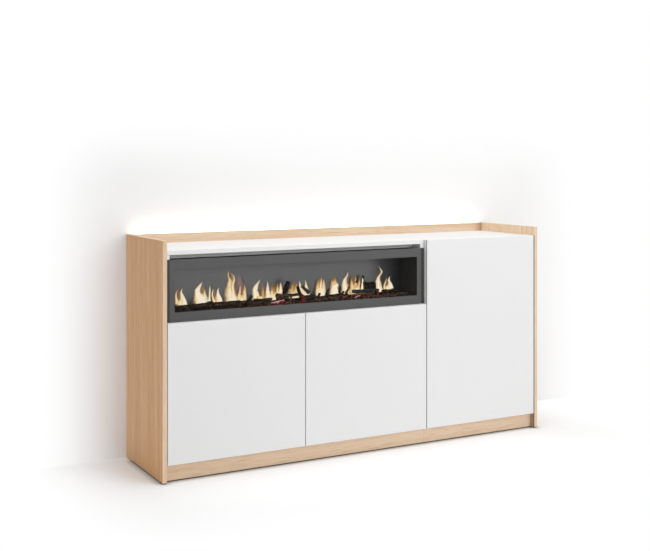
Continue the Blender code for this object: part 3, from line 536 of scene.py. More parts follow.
flameLook = {
    "stretch": (1, 1, 0.16),
    "streaks": {"Fine": 420.0, "Broad": 170.0, "Pores": 200.0},
    "strand": (0.36, 0.64, -1.0, 1.0),
    "ragged": 0.05,
    "leftSofter": 1.5,
    # how dark the strands are and how much across the tongue, then the left side and the upper part
    "strandDark": (-0.85, 0.15, 0.34, 0.0),
    "strandAcross": (0.35, 0.95, 1.0, 0.25),
    "leftDark": (0.0, 0.38, 0.34, 0.0),
    "topDark": (0.35, 1.0, 0.0, 0.42),
    "topWarmth": (0.60, 1.0, 1.0, 0.15),
    "light": ((0.00, (218, 166, 156)), (0.08, (188, 140, 92)), (0.30, (196, 142, 74)),
              (0.54, (232, 188, 122)), (0.76, (249, 223, 176)), (0.98, (253, 243, 218))),
    # how clear haze and tips are
    "thin": (0.0, 0.80, 0.36, 1.0),
    "tip": (0.60, 1.0),
    "tipWarmth": (0.50, 1.0, 0.95, 0.25),
    "fixed": {"Base Color": (0, 0, 0, 1), "Roughness": 1.0, "Specular IOR Level": 0,
              "Emission Strength": 1.0},
}


def makeFlameLight():
    # Cream tongues with amber strands, brighter along the right edge, over brown haze
    material, tree, shader = newFinish("flame_light")

    def combine(operation, first, *others):
        for other in others:
            first = calculate(tree, operation, first, other)
        return first

    def span(value, label, smooth=False):
        return mapRange(tree, value, *flameLook[label], smooth=smooth)

    across, up = (coordinate(tree, "UV", axis) for axis in "XY")
    warmth, edge = (attribute(tree, name) for name in ("warmth", "edge"))
    grain = useGroup(tree, streaks, objectPlace(tree, flameLook["stretch"]), **flameLook["streaks"])
    strand = span(grain["Tone"], "strand")
    ragged = combine("MULTIPLY", strand, flameLook["ragged"])
    leftRim = combine("DIVIDE", combine("ADD", across, ragged),
                      combine("MULTIPLY", edge, flameLook["leftSofter"]))
    rightRim = combine("DIVIDE", combine("ADD", combine("SUBTRACT", 1.0, across), ragged), edge)
    soft = combine("MULTIPLY", *(mapRange(tree, rim, 0.0, 1.0, smooth=True) for rim in (leftRim, rightRim)))
    dark = combine("ADD", combine("MULTIPLY", span(strand, "strandDark", True), span(across, "strandAcross")),
                   span(across, "leftDark"),
                   combine("MULTIPLY", span(up, "topDark"), span(warmth, "topWarmth")))
    light = combine("MULTIPLY", warmth, combine("SUBTRACT", 1.0, dark))
    tip = combine("SUBTRACT", 1.0, combine("MULTIPLY", span(up, "tip"), span(warmth, "tipWarmth")))
    feed(tree, shader, {
        "Emission Color": ramp(tree, light, flameLook["light"]),
        "Alpha": combine("MULTIPLY", soft, span(warmth, "thin"), tip), **flameLook["fixed"]})
    return material


finishes["smoked_screen"] = makeScreen()
finishes["clear_glass"] = makeGlass()
finishes["lit_diffuser"] = makeDiffuser()
logBark = makeLogBark()
flameLight = makeFlameLight()
finishes["ember_resin"] = finishes["log_resin"] = logBark

# The fire, in the case's own measures


def neighbours(ring):
    return zip(ring, ring[1:] + ring[:1])


def wrap(bm, rings):
    # Faces from each ring of points to the next one
    return [bm.faces.new((a, b, d, c)) for low, high in zip(rings, rings[1:])
            for (a, b), (c, d) in zip(neighbours(low), neighbours(high))]


def closeMesh(bm, name):
    # A plain mesh whose faces point outwards
    bmesh.ops.recalc_face_normals(bm, faces=bm.faces)
    mesh = bpy.data.meshes.new(name)
    bm.to_mesh(mesh)
    bm.free()
    return mesh


def addPiece(name, mesh, material, body, slotName, *replaced):
    piece = addObject(name, mesh)
    mesh.materials.clear()
    mesh.materials.append(material)
    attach(piece, body)
    if replaced:
        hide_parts(*replaced)


# Each flame, the back ones first: warmth, how far its edges are soft, then rows from the base up of
# height, left and right in tenths of a millimetre, with the tip's height and place last
flames = {
    "back": -0.0545,
    "front": -0.0554,
    "layer": 0.00002,
    "near": {59: -0.0876},  # stands before the upright log
    "depth": 0.0006,
    "footBulge": 0.12,
    "rowEvery": 0.0022,
    "columns": 8,
    "wider": 0.06,
    "waver": 0.0010,
    "waverScale": (20, 130),
    "waverSeeds": ((3.1, 0), (5.3, 40)),
    "perMetre": 10000,
    "tongues": (
        (0.22, 0.60, ((5748, -7085, -6774), (5988, -7048, -6811), (6160, -7004, -6855), (6280, -6930))),
        (0.86, 0.34, ((5571, -7100, -6557), (5709, -7092, -6595), (5792, -7070, -6647),
            (5846, -7011, -6677), (5894, -6848))),
        (0.74, 0.30, ((5718, -7085, -6900), (5891, -7081, -6959), (5995, -7081, -6989),
            (6113, -7052, -6978), (6177, -7011, -6955), (6236, -6944))),
        (1.00, 0.20, ((5616, -6900, -6557), (5771, -6878, -6610), (5911, -6892, -6684),
            (6033, -6881, -6755), (6120, -6881, -6800), (6178, -6855, -6796), (6241, -6788))),
        (0.12, 0.60, ((5609, -6475, -6249), (5850, -6452, -6249), (6091, -6407, -6249), (6244, -6295))),
        (0.34, 0.50, ((5866, -6212, -5871), (6074, -6174, -5909), (6248, -6136, -5954), (6372, -6030))),
        (1.00, 0.22, ((5559, -6415, -5810), (5731, -6392, -5802), (5870, -6377, -5840),
            (5954, -6362, -5878), (6011, -6340, -5970), (6065, -6234))),
        (0.84, 0.40, ((5827, -6114, -5833), (5983, -6068, -5871), (6087, -6026, -5909), (6188, -5962))),
        (1.00, 0.22, ((5772, -6377, -6023), (5981, -6366, -6083), (6154, -6347, -6106),
            (6255, -6265, -6087), (6335, -6166, -6064), (6421, -6038))),
        (0.94, 0.30, ((5676, -5886, -5672), (5781, -5848, -5711), (5920, -5817, -5733),
            (6128, -5802, -5730), (6322, -5764))),
        (0.20, 0.60, ((5700, -5733, -5465), (5909, -5711, -5488), (6082, -5657, -5504), (6229, -5588))),
        (0.88, 0.30, ((5532, -5626, -5218), (5708, -5634, -5261), (5831, -5619, -5319),
            (5936, -5580, -5357), (6027, -5473))),
        (0.90, 0.30, ((5628, -5657, -5473), (5807, -5703, -5573), (5948, -5714, -5634),
            (6086, -5680, -5619), (6169, -5626))),
        (1.00, 0.20, ((5530, -5511, -5164), (5722, -5519, -5257), (5864, -5531, -5327),
            (5970, -5527, -5384), (6062, -5507, -5415), (6124, -5481, -5419), (6199, -5415))),
        (0.00, 0.60, ((5816, -4908, -4358), (6097, -4869, -4358), (6346, -4837, -4429),
            (6523, -4806, -4500), (6736, -4673))),
        (0.14, 0.60, ((5772, -4693, -4287), (6055, -4673, -4303), (6266, -4579, -4342), (6464, -4469))),
        (0.50, 0.45, ((5725, -5156, -4595), (5973, -5141, -4673), (6220, -5063, -4775),
            (6395, -5024, -4783), (6537, -5024, -4814), (6658, -5009, -4884), (6736, -4962))),
        (0.92, 0.28, ((5567, -5226, -4539), (5799, -5234, -4642), (5943, -5234, -4744),
            (6085, -5211, -4806), (6204, -5172, -4837), (6316, -5133, -4853), (6406, -5079, -4884),
            (6491, -4986))),
        (0.82, 0.36, ((5733, -5125, -4884), (6049, -5102, -4900), (6224, -5079, -4908),
            (6365, -5071, -4923), (6486, -5079, -4962), (6593, -5102, -5009), (6677, -5094, -5017),
            (6766, -5009))),
        (0.86, 0.34, ((5686, -4986, -4649), (5900, -4970, -4751), (6112, -4947, -4814),
            (6267, -4931, -4822), (6378, -4900, -4783), (6475, -4869, -4775), (6583, -4900, -4814),
            (6688, -4986))),
        (0.84, 0.34, ((5548, -4869, -4279), (5723, -4806, -4303), (5828, -4751, -4326), (5924, -4673))),
        (0.80, 0.40, ((5642, -4814, -4516), (5852, -4736, -4539), (6061, -4657, -4547), (6286, -4579))),
        (0.80, 0.40, ((5629, -4610, -4295), (5839, -4555, -4307), (6051, -4508, -4334), (6252, -4413))),
        (0.20, 0.60, ((5690, -3921, -3519), (5939, -3881, -3535), (6153, -3825, -3576), (6333, -3729))),
        (0.60, 0.50, ((5652, -3825, -3552), (5867, -3793, -3592), (6045, -3753, -3624), (6238, -3696))),
        (0.84, 0.30, ((5557, -4128, -3624), (5664, -4120, -3648), (5755, -4104, -3592),
            (5826, -4080, -3841), (5879, -4017))),
        (1.00, 0.22, ((5594, -4128, -3672), (5718, -4132, -3753), (5884, -4128, -3825),
            (6027, -4116, -3877), (6132, -4080, -3869), (6215, -4009, -3849), (6297, -3913, -3817),
            (6400, -3793))),
        (0.40, 0.50, ((5628, -3576, -2991), (5878, -3543, -3008), (6075, -3463, -3057),
            (6186, -3382, -3138), (6259, -3276))),
        (0.46, 0.50, ((5720, -3236, -2811), (5972, -3195, -2852), (6152, -3130, -2918), (6274, -3032))),
        (0.96, 0.26, ((5450, -3624, -3008), (5607, -3616, -2991), (5720, -3600, -2950),
            (5807, -3584, -2975), (5887, -3519, -3073), (5951, -3422))),
        (0.80, 0.40, ((5666, -3463, -3187), (5845, -3430, -3220), (5974, -3382, -3260), (6111, -3325))),
        (1.00, 0.24, ((5461, -3624, -3333), (5712, -3616, -3370), (5999, -3592, -3418),
            (6142, -3556, -3447), (6321, -3499))),
        (0.84, 0.34, ((5689, -3252, -2967), (5940, -3195, -3016), (6084, -3154, -3048), (6235, -3106))),
        (1.00, 0.22, ((5716, -3171, -2770), (5861, -3122, -2844), (6004, -3040, -2897),
            (6112, -3003, -2922), (6264, -2971))),
        (0.44, 0.50, ((5647, -2720, -2107), (5901, -2712, -2124), (6061, -2663, -2207),
            (6156, -2580, -2290), (6302, -2465))),
        (0.98, 0.30, ((5467, -2770, -2098), (5684, -2753, -2115), (5815, -2729, -2149),
            (5903, -2688, -2224), (5977, -2605))),
        (0.52, 0.40, ((5796, -2630, -2348), (5977, -2589, -2382), (6085, -2547, -2407), (6259, -2473))),
        (0.72, 0.40, ((5788, -2473, -2224), (5968, -2415, -2249), (6076, -2365, -2265), (6199, -2299))),
        (0.92, 0.26, ((5739, -2299, -1981), (5995, -2257, -2057), (6123, -2224, -2124), (6273, -2182))),
        (0.95, 0.26, ((5586, -2182, -1830), (5805, -2132, -1914), (6025, -2040))),
        (0.90, 0.24, ((5725, -2057, -1729), (5944, -1990, -1805), (6091, -1973, -1864), (6297, -1948))),
        (0.36, 0.60, ((5727, -1611, -1023), (5985, -1586, -1049), (6132, -1560, -1075),
            (6242, -1518, -1109), (6330, -1408, -1212), (6381, -1306))),
        (0.62, 0.45, ((5806, -1569, -1237), (5989, -1552, -1254), (6136, -1518, -1271),
            (6245, -1450, -1297), (6311, -1382))),
        (1.00, 0.20, ((5522, -1636, -1006), (5654, -1586, -1058), (5801, -1569, -1083),
            (5949, -1552, -1109), (6037, -1509, -1160), (6113, -1391))),
        (0.88, 0.34, ((5757, -1340, -1058), (5977, -1280, -1075), (6124, -1246, -1092), (6271, -1169))),
        (0.86, 0.36, ((5801, -1467, -1186), (6020, -1382, -1212), (6203, -1323, -1229), (6357, -1263))),
        (0.36, 0.60, ((5802, -946, -445), (6062, -920, -497), (6210, -895, -549), (6299, -826, -619),
            (6382, -740))),
        (0.64, 0.45, ((5839, -834, -549), (6061, -791, -584), (6209, -757, -627), (6372, -696))),
        (0.60, 0.45, ((5845, -912, -679), (6067, -895, -731), (6215, -869, -765), (6319, -826))),
        (1.00, 0.20, ((5581, -972, -445), (5729, -929, -488), (5914, -895, -541), (6024, -886, -497),
            (6114, -852, -593), (6196, -722))),
        (0.10, 0.60, ((5700, -488, 62), (6036, -454, 1), (6294, -367, -8), (6521, -113))),
        (0.60, 0.40, ((5582, -210, 1), (5806, -210, -26), (5993, -192, -61), (6143, -140))),
        (1.00, 0.22, ((5662, -436, 9), (5850, -419, -61), (6038, -402, -135), (6168, -367, -157),
            (6258, -293, -144), (6349, -205, -113), (6476, -96))),
        (0.44, 0.50, ((5636, -131, 611), (5936, -113, 576), (6125, -78, 478), (6241, -43, 283),
            (6358, 27))),
        (0.72, 0.40, ((5684, -113, 221), (5946, -87, 168), (6119, -52, 115), (6269, 9))),
        (0.70, 0.40, ((5711, 89, 380), (5974, 133, 309), (6161, 168, 265), (6393, 212))),
        (1.00, 0.26, ((5445, -122, 709), (5633, -113, 692), (5798, -78, 665), (5910, -26, 611),
            (6002, 106))),
        (0.74, 0.36, ((5757, -34, 194), (5944, 1, 150), (6131, 80))),
        (0.74, 0.36, ((5742, 221, 469), (5929, 274, 433), (6078, 327, 424), (6242, 389))),
        (1.00, 0.22, ((5705, 155, 517), (5891, 217, 437), (6077, 270, 393), (6189, 296, 362), (6300, 322))),
        (0.14, 0.60, ((5499, 942, 1603), (5805, 987, 1485), (6108, 1032, 1403), (6369, 1158, 1466),
            (6643, 1285))),
        (1.00, 0.20, ((5460, 987, 1594), (5632, 1014, 1530), (5804, 1068, 1425), (5938, 1077, 1376),
            (6052, 1086, 1344), (6161, 1136, 1312), (6250, 1199, 1321), (6352, 1303, 1403),
            (6434, 1330, 1425), (6520, 1298, 1357), (6636, 1262))),
        (0.10, 0.50, ((5744, 1430, 1841), (5935, 1475, 1786), (6126, 1530, 1703), (6248, 1603))),
        (0.90, 0.26, ((5703, 1439, 1951), (5756, 1457, 1942), (5832, 1485, 1896), (5905, 1621))),
        (0.80, 0.34, ((5751, 1439, 1594), (5904, 1448, 1557), (6030, 1521, 1603), (6180, 1603))),
        (1.00, 0.20, ((5699, 1566, 1951), (5794, 1612, 1923), (5909, 1639, 1877), (6005, 1667, 1813),
            (6098, 1658, 1758), (6232, 1767))),
    ),
}


def smoothRows(rows, step):
    # More rows on the curve through the given ones
    points = [Vector((*row[:2], row[-1])) / flames["perMetre"] for row in rows]
    points = [points[0]] + points + [points[-1]]
    found = []
    for a, b, c, d in zip(points, points[1:], points[2:], points[3:]):
        count = max(1, round(abs(c.x - b.x) / step))
        for i in range(count):
            t = i / count
            found.append(0.5 * (2 * b + (c - a) * t + (2 * a - 5 * b + 4 * c - d) * t ** 2
                                + (3 * b - 3 * c + d - a) * t ** 3))
    return found + [points[-1]]


def waverSides(left, right, height, up, index):
    # A little wider at the foot, and both sides waver more towards the tip
    spread = (right - left) * flames["wider"] * 0.5 * (1 - up)
    sides = (left - spread, right + spread)
    alongScale, upScale = flames["waverScale"]
    return [side + flames["waver"] * up
            * noise.noise(Vector((side * alongScale, index * seed, height * upScale + lift)))
            for side, (seed, lift) in zip(sides, flames["waverSeeds"])]


def addTongue(bm, uvLayer, layers, index, warmth, edge, rows):
    rows = smoothRows(rows, flames["rowEvery"])
    columns, foot = flames["columns"], flames["footBulge"]
    # The hidden back sits just inside the screen
    front = flames["near"].get(index, flames["front"] - index * flames["layer"])
    back = front if index in flames["near"] else flames["back"]
    places = {}

    def addVert(place, across, up):
        vert = bm.verts.new(place)
        vert[layers["warmth"]], vert[layers["edge"]] = warmth, edge
        places[vert] = (across, up)
        return vert

    rings = []
    for r, (height, left, right) in enumerate(rows[:-1]):
        up = r / (len(rows) - 1)
        swell = flames["depth"] * math.sin(math.pi * (foot + (1 - foot) * (1 - up)) / (1 + foot))
        left, right = waverSides(left, right, height, up, index)
        ring = []
        for i in range(2 * columns):
            across = i / columns if i <= columns else 2 - i / columns
            inward = back if i > columns else front - swell * math.sin(math.pi * across)
            ring.append(addVert((left + (right - left) * across, inward, height), across, up))
        rings.append(ring)
    tip = addVert((rows[-1][1], front, rows[-1][0]), 0.5, 1.0)
    faces = [bm.faces.new(list(reversed(rings[0]))), *wrap(bm, rings)]
    faces += [bm.faces.new((*pair, tip)) for pair in neighbours(rings[-1])]
    for face in faces:
        face.smooth = True
        for loop in face.loops:
            loop[uvLayer].uv = places[loop.vert]


def makeFlames():
    bm = bmesh.new()
    uvLayer = bm.loops.layers.uv.new("UVMap")
    layers = {name: bm.verts.layers.float.new(name) for name in ("warmth", "edge")}
    for index, tongue in enumerate(flames["tongues"]):
        addTongue(bm, uvLayer, layers, index, *tongue)
    addPiece("flames", closeMesh(bm, "flames"), flameLight, "cabinet", "lit_diffuser")


# Logs: each end as share of the window's half width, share of the way from glass to screen and height
# over the window's foot; then thickness, tint (0 charred, 1 grey-green) and glow
logs = {
    "windowMiddle": -0.261617,
    "windowHalf": 0.489383,
    "glassBack": -0.153,
    "screenFront": -0.055,
    "windowFoot": 0.559,
    "ringEvery": 0.0030,
    "sides": 14,
    "taper": 0.84,
    "blunt": 0.86,
    "hub": 0.0006,
    "seedStep": (3.7, 1.3, 2.1),
    "sway": 0.18,
    "swayScale": (28, 24),
    "roughness": 0.34,
    # scale and weight of each noise
    "roughScale": ((260, 1), (110, 0.8)),
    "glowScale": 60,
    "glowRange": (0.75, 0.6),
    "pieces": (
        ((-0.974, 0.30, 0.0052), (-0.782, 0.36, 0.0075), 0.0150, 0.05, 0.00),
        ((-0.800, 0.42, 0.0083), (-0.581, 0.30, 0.0094), 0.0150, 0.12, 0.00),
        ((-0.640, 0.42, 0.0062), (-0.375, 0.40, 0.0095), 0.0150, 0.08, 0.00),
        ((-0.985, 0.72, 0.0052), (-0.680, 0.68, 0.0112), 0.0110, 0.15, 0.00),
        ((-0.700, 0.66, 0.0082), (-0.429, 0.74, 0.0104), 0.0120, 0.10, 0.05),
        ((-0.690, 0.64, 0.0150), (-0.656, 0.64, 0.0156), 0.0105, 0.05, 0.00),
        ((-0.408, 0.50, 0.0072), (-0.352, 0.55, 0.0287), 0.0110, 0.10, 0.10),
        ((-0.396, 0.35, 0.0037), (-0.228, 0.42, 0.0090), 0.0130, 0.15, 0.05),
        ((-0.322, 0.68, 0.0115), (-0.184, 0.60, 0.0133), 0.0100, 0.20, 0.05),
        ((-0.254, 0.32, -0.0031), (-0.103, 0.40, 0.0068), 0.0100, 0.30, 0.66),
        ((-0.247, 0.16, -0.0062), (-0.137, 0.20, -0.0045), 0.0070, 0.10, 0.74),
        ((-0.268, 0.28, 0.0000), (-0.112, 0.36, 0.0112), 0.0034, 0.30, 1.50),
        ((-0.152, 0.50, 0.0215), (-0.062, 0.58, 0.0205), 0.0215, 0.58, 0.00),
        ((-0.081, 0.62, 0.0200), (-0.044, 0.66, 0.0715), 0.0185, 0.01, 0.00),
        ((-0.101, 0.46, 0.0252), (0.020, 0.50, 0.0241), 0.0120, 0.92, 0.00),
        ((-0.070, 0.30, -0.0071), (-0.047, 0.42, 0.0177), 0.0080, 0.45, 0.16),
        ((-0.037, 0.30, -0.0060), (-0.023, 0.40, 0.0144), 0.0075, 0.40, 0.16),
        ((0.048, 0.34, -0.0067), (0.019, 0.56, 0.0536), 0.0140, 0.02, 0.04),
        ((0.038, 0.26, -0.0020), (0.036, 0.32, 0.0275), 0.0125, 0.06, 0.44),
        ((0.110, 0.46, 0.0290), (0.058, 0.58, 0.0530), 0.0130, 0.80, 0.00),
        ((0.052, 0.44, 0.0110), (0.168, 0.50, 0.0125), 0.0215, 0.12, 0.10),
        ((0.037, 0.24, -0.0048), (0.155, 0.28, -0.0010), 0.0110, 0.10, 0.15),
        ((0.137, 0.34, 0.0007), (0.289, 0.40, 0.0037), 0.0140, 0.38, 0.00),
        ((0.191, 0.50, 0.0087), (0.206, 0.52, 0.0236), 0.0100, 0.00, 0.00),
        ((0.264, 0.55, 0.0041), (0.297, 0.66, 0.0326), 0.0110, 0.10, 0.00),
        ((0.275, 0.42, 0.0003), (0.384, 0.36, 0.0086), 0.0150, 0.22, 0.08),
        ((0.321, 0.66, 0.0092), (0.422, 0.70, 0.0125), 0.0090, 0.12, 0.00),
        ((0.396, 0.70, 0.0184), (0.415, 0.74, 0.0380), 0.0085, 0.18, 0.05),
        ((0.400, 0.52, 0.0078), (0.421, 0.56, 0.0244), 0.0085, 0.15, 0.05),
        ((0.443, 0.60, 0.0145), (0.481, 0.66, 0.0386), 0.0085, 0.30, 0.12),
        ((0.381, 0.30, 0.0058), (0.429, 0.36, 0.0110), 0.0070, 0.60, 0.40),
        ((0.443, 0.34, -0.0075), (0.578, 0.42, 0.0023), 0.0100, 0.25, 0.66),
        ((0.438, 0.16, -0.0096), (0.536, 0.20, -0.0064), 0.0065, 0.10, 0.74),
        ((0.446, 0.30, -0.0020), (0.540, 0.38, 0.0068), 0.0034, 0.30, 1.50),
        ((0.489, 0.46, 0.0235), (0.684, 0.50, 0.0213), 0.0140, 0.97, 0.00),
        ((0.483, 0.34, 0.0126), (0.568, 0.38, 0.0148), 0.0085, 0.60, 0.30),
        ((0.597, 0.74, 0.0182), (0.624, 0.80, 0.0735), 0.0110, 0.00, 0.00),
        ((0.562, 0.80, 0.0500), (0.574, 0.82, 0.0612), 0.0085, 0.00, 0.00),
        ((0.606, 0.68, 0.0340), (0.704, 0.66, 0.0380), 0.0350, 0.00, 0.00),
        ((0.600, 0.60, 0.0180), (0.716, 0.60, 0.0200), 0.0160, 0.00, 0.04),
        ((0.575, 0.46, 0.0092), (0.680, 0.50, 0.0105), 0.0160, 0.40, 0.02),
        ((0.558, 0.30, -0.0046), (0.682, 0.36, -0.0001), 0.0120, 0.55, 0.00),
        ((0.694, 0.36, -0.0100), (0.704, 0.44, 0.0270), 0.0135, 0.22, 0.32),
        ((0.786, 0.70, 0.0110), (0.905, 0.74, 0.0148), 0.0135, 0.12, 0.12),
        ((0.762, 0.48, -0.0006), (0.940, 0.46, 0.0022), 0.0150, 0.22, 0.00),
        ((0.905, 0.50, 0.0020), (0.985, 0.42, 0.0012), 0.0120, 0.58, 0.00),
        ((0.699, 0.28, -0.0048), (0.869, 0.32, -0.0043), 0.0090, 0.15, 0.05),
        ((0.876, 0.24, -0.0051), (0.970, 0.30, -0.0024), 0.0085, 0.05, 0.00),
        ((0.880, 0.70, -0.0007), (0.968, 0.62, 0.0030), 0.0090, 0.10, 0.00),
        ((-0.998, 0.75, 0.0018), (-0.809, 0.76, -0.0005), 0.0130, 0.15, 0.00),
        ((-0.836, 0.77, 0.0002), (-0.647, 0.75, 0.0005), 0.0156, 0.15, 0.00),
        ((-0.672, 0.80, 0.0041), (-0.508, 0.83, 0.0052), 0.0114, 0.15, 0.05),
        ((-0.540, 0.76, 0.0010), (-0.383, 0.83, 0.0047), 0.0157, 0.15, 0.00),
        ((-0.430, 0.83, 0.0049), (-0.237, 0.79, 0.0019), 0.0140, 0.30, 0.00),
        ((-0.262, 0.82, -0.0007), (-0.098, 0.74, 0.0034), 0.0124, 0.30, 0.05),
        ((-0.129, 0.76, 0.0019), (0.111, 0.76, 0.0034), 0.0124, 0.15, 0.00),
        ((0.069, 0.80, 0.0053), (0.234, 0.75, -0.0006), 0.0121, 0.10, 0.00),
        ((0.204, 0.79, -0.0007), (0.354, 0.81, 0.0053), 0.0158, 0.15, 0.00),
        ((0.324, 0.76, 0.0036), (0.489, 0.83, 0.0051), 0.0144, 0.05, 0.00),
        ((0.451, 0.77, 0.0008), (0.679, 0.80, 0.0001), 0.0139, 0.15, 0.00),
        ((0.646, 0.82, 0.0060), (0.816, 0.80, 0.0021), 0.0120, 0.10, 0.00),
        ((0.794, 0.76, 0.0037), (0.930, 0.75, -0.0007), 0.0135, 0.10, 0.00),
        ((0.880, 0.79, 0.0044), (0.965, 0.78, 0.0059), 0.0134, 0.10, 0.00),
    ),
}


def logPoint(across, inward, rise):
    return Vector((logs["windowMiddle"] + across * logs["windowHalf"],
                   logs["glassBack"] + inward * (logs["screenFront"] - logs["glassBack"]),
                   logs["windowFoot"] + rise))


def addLog(bm, layers, start, end, thickness, tint, glow, seed):
    # A charred branch: uneven rings along its length, each end sawn or burnt blunt
    start, end = logPoint(*start), logPoint(*end)
    axis = (end - start).normalized()
    side = axis.orthogonal().normalized()
    other = axis.cross(side)
    count = max(4, round((end - start).length / logs["ringEvery"]))
    sides = logs["sides"]
    offset = Vector(seed * step for step in logs["seedStep"])
    sway = thickness * logs["sway"]
    (sideScale, otherScale), (dim, flicker) = logs["swayScale"], logs["glowRange"]
    (fine, _), (coarse, coarseWeight) = logs["roughScale"]
    rings = []
    for r in range(-1, count + 2):
        step = min(max(r, 0), count) / count
        radius = thickness / 2 * (1 + (logs["taper"] - 1) * step)
        if r in (-1, count + 1):
            radius *= logs["blunt"]
        centre = start.lerp(end, step)
        bend = noise.noise(centre * sideScale + offset) * sway
        centre = centre + side * bend + other * noise.noise(centre * otherScale - offset) * sway
        ring = []
        for i in range(sides):
            angle = 2 * math.pi * i / sides
            out = side * math.cos(angle) + other * math.sin(angle)
            point = centre + out * radius
            rough = noise.noise(point * fine + offset) + coarseWeight * noise.noise(point * coarse - offset)
            vert = bm.verts.new(centre + out * radius * (1 + logs["roughness"] * rough))
            vert[layers["tint"]] = tint
            vert[layers["glow"]] = glow * max(0.0, dim + flicker * noise.noise(point * logs["glowScale"]))
            ring.append(vert)
        rings.append(ring)
    for face in wrap(bm, rings):
        face.smooth = True
    for ring, way in ((rings[0], 1), (rings[-1], -1)):
        hub = bm.verts.new(sum((v.co for v in ring), Vector()) / sides + axis * logs["hub"] * way)
        hub[layers["tint"]], hub[layers["sawn"]] = tint, 1
        for first, second in neighbours(ring):
            bm.faces.new((second, first, hub) if way > 0 else (first, second, hub))


def makeLogs():
    bm = bmesh.new()
    layers = {name: bm.verts.layers.float.new(name) for name in ("tint", "glow", "sawn")}
    for index, values in enumerate(logs["pieces"]):
        addLog(bm, layers, *values, index + 1)
    addPiece("charred_logs", closeMesh(bm, "charred_logs"), logBark, "cabinet", "log_resin", "log_set")


shield = {
    "ends": (-0.7635, 0.2405),
    "lip": -0.1120,
    "back": -0.0300,
    "under": 0.7497,
    "lipFoot": 0.7345,
    "sheet": 0.0008,
}


def makeShield():
    # Folded sheet under the top board that turns the warm air out of the slot
    lip, back, under, foot, thick = (shield[label] for label in ("lip", "back", "under", "lipFoot", "sheet"))
    outline = [(lip, foot), (lip + thick, foot), (lip + thick, under - thick), (back, under - thick),
               (back, under), (lip, under)]
    bm = bmesh.new()
    ends = [[bm.verts.new((x, y, z)) for y, z in outline] for x in shield["ends"]]
    wrap(bm, ends)
    for ring in ends:
        bm.faces.new(ring)
    addPiece("heat_shield", closeMesh(bm, "heat_shield"), finishes["shield_paint"], "cabinet", "grey_steel")


makeFlames()
makeLogs()
makeShield()
print("fire laid")

# Repeated small parts, made by geometry nodes


def newGeometryTree(name, inputs):
    tree, start, end = newTree(name, "GeometryNodeTree", (("Geometry", "Geometry", None), *inputs),
                               (("Geometry", "Geometry"),))
    tree.is_modifier = True
    return tree, start, end


def placeShapes(tree, points, shape, turn, size):
    return addNode(tree, "GeometryNodeInstanceOnPoints", {
        "Points": points, "Instance": shape(tree), "Rotation": turn, "Scale": size}).outputs["Instances"]


def realize(tree, instances):
    return addNode(tree, "GeometryNodeRealizeInstances", {"Geometry": instances}).outputs["Geometry"]


def paintTree(tree, geometry, start, end):
    feed(tree, end, {"Geometry": addNode(tree, "GeometryNodeSetMaterial", {
        "Geometry": geometry, "Material": start["Finish"]}).outputs["Geometry"]})


def runTree(name, mesh, tree, values):
    # The tree's result on the mesh, as a plain mesh
    carrier = addObject(name, mesh)
    modifier = carrier.modifiers.new(name, "NODES")
    modifier.node_group = tree
    identifiers = {item.name: item.identifier for item in tree.interface.items_tree
                   if item.item_type == "SOCKET" and item.in_out == "INPUT"}
    for label, value in values.items():
        modifier[identifiers[label]] = value
    result = bpy.data.meshes.new_from_object(carrier.evaluated_get(bpy.context.evaluated_depsgraph_get()))
    result.name = name
    carrier.modifiers.clear()
    bpy.data.objects.remove(carrier)
    return result


def transformed(tree, geometry, **change):
    return addNode(tree, "GeometryNodeTransform", {"Geometry": geometry, **change}).outputs["Geometry"]


def ballShape(tree):
    return addNode(tree, "GeometryNodeMeshIcoSphere", {"Radius": 0.5, "Subdivisions": 2}).outputs["Mesh"]


def stickShape(tree):
    stick = addNode(tree, "GeometryNodeMeshCylinder", {
        "Vertices": 8, "Side Segments": 4, "Radius": 0.5, "Depth": 1.0})
    return transformed(tree, stick.outputs["Mesh"], Rotation=(0, math.pi / 2, 0))


scatter = {"tint": 0.55, "seedStep": 7, "dentScale": 260, "dentDetail": 1}


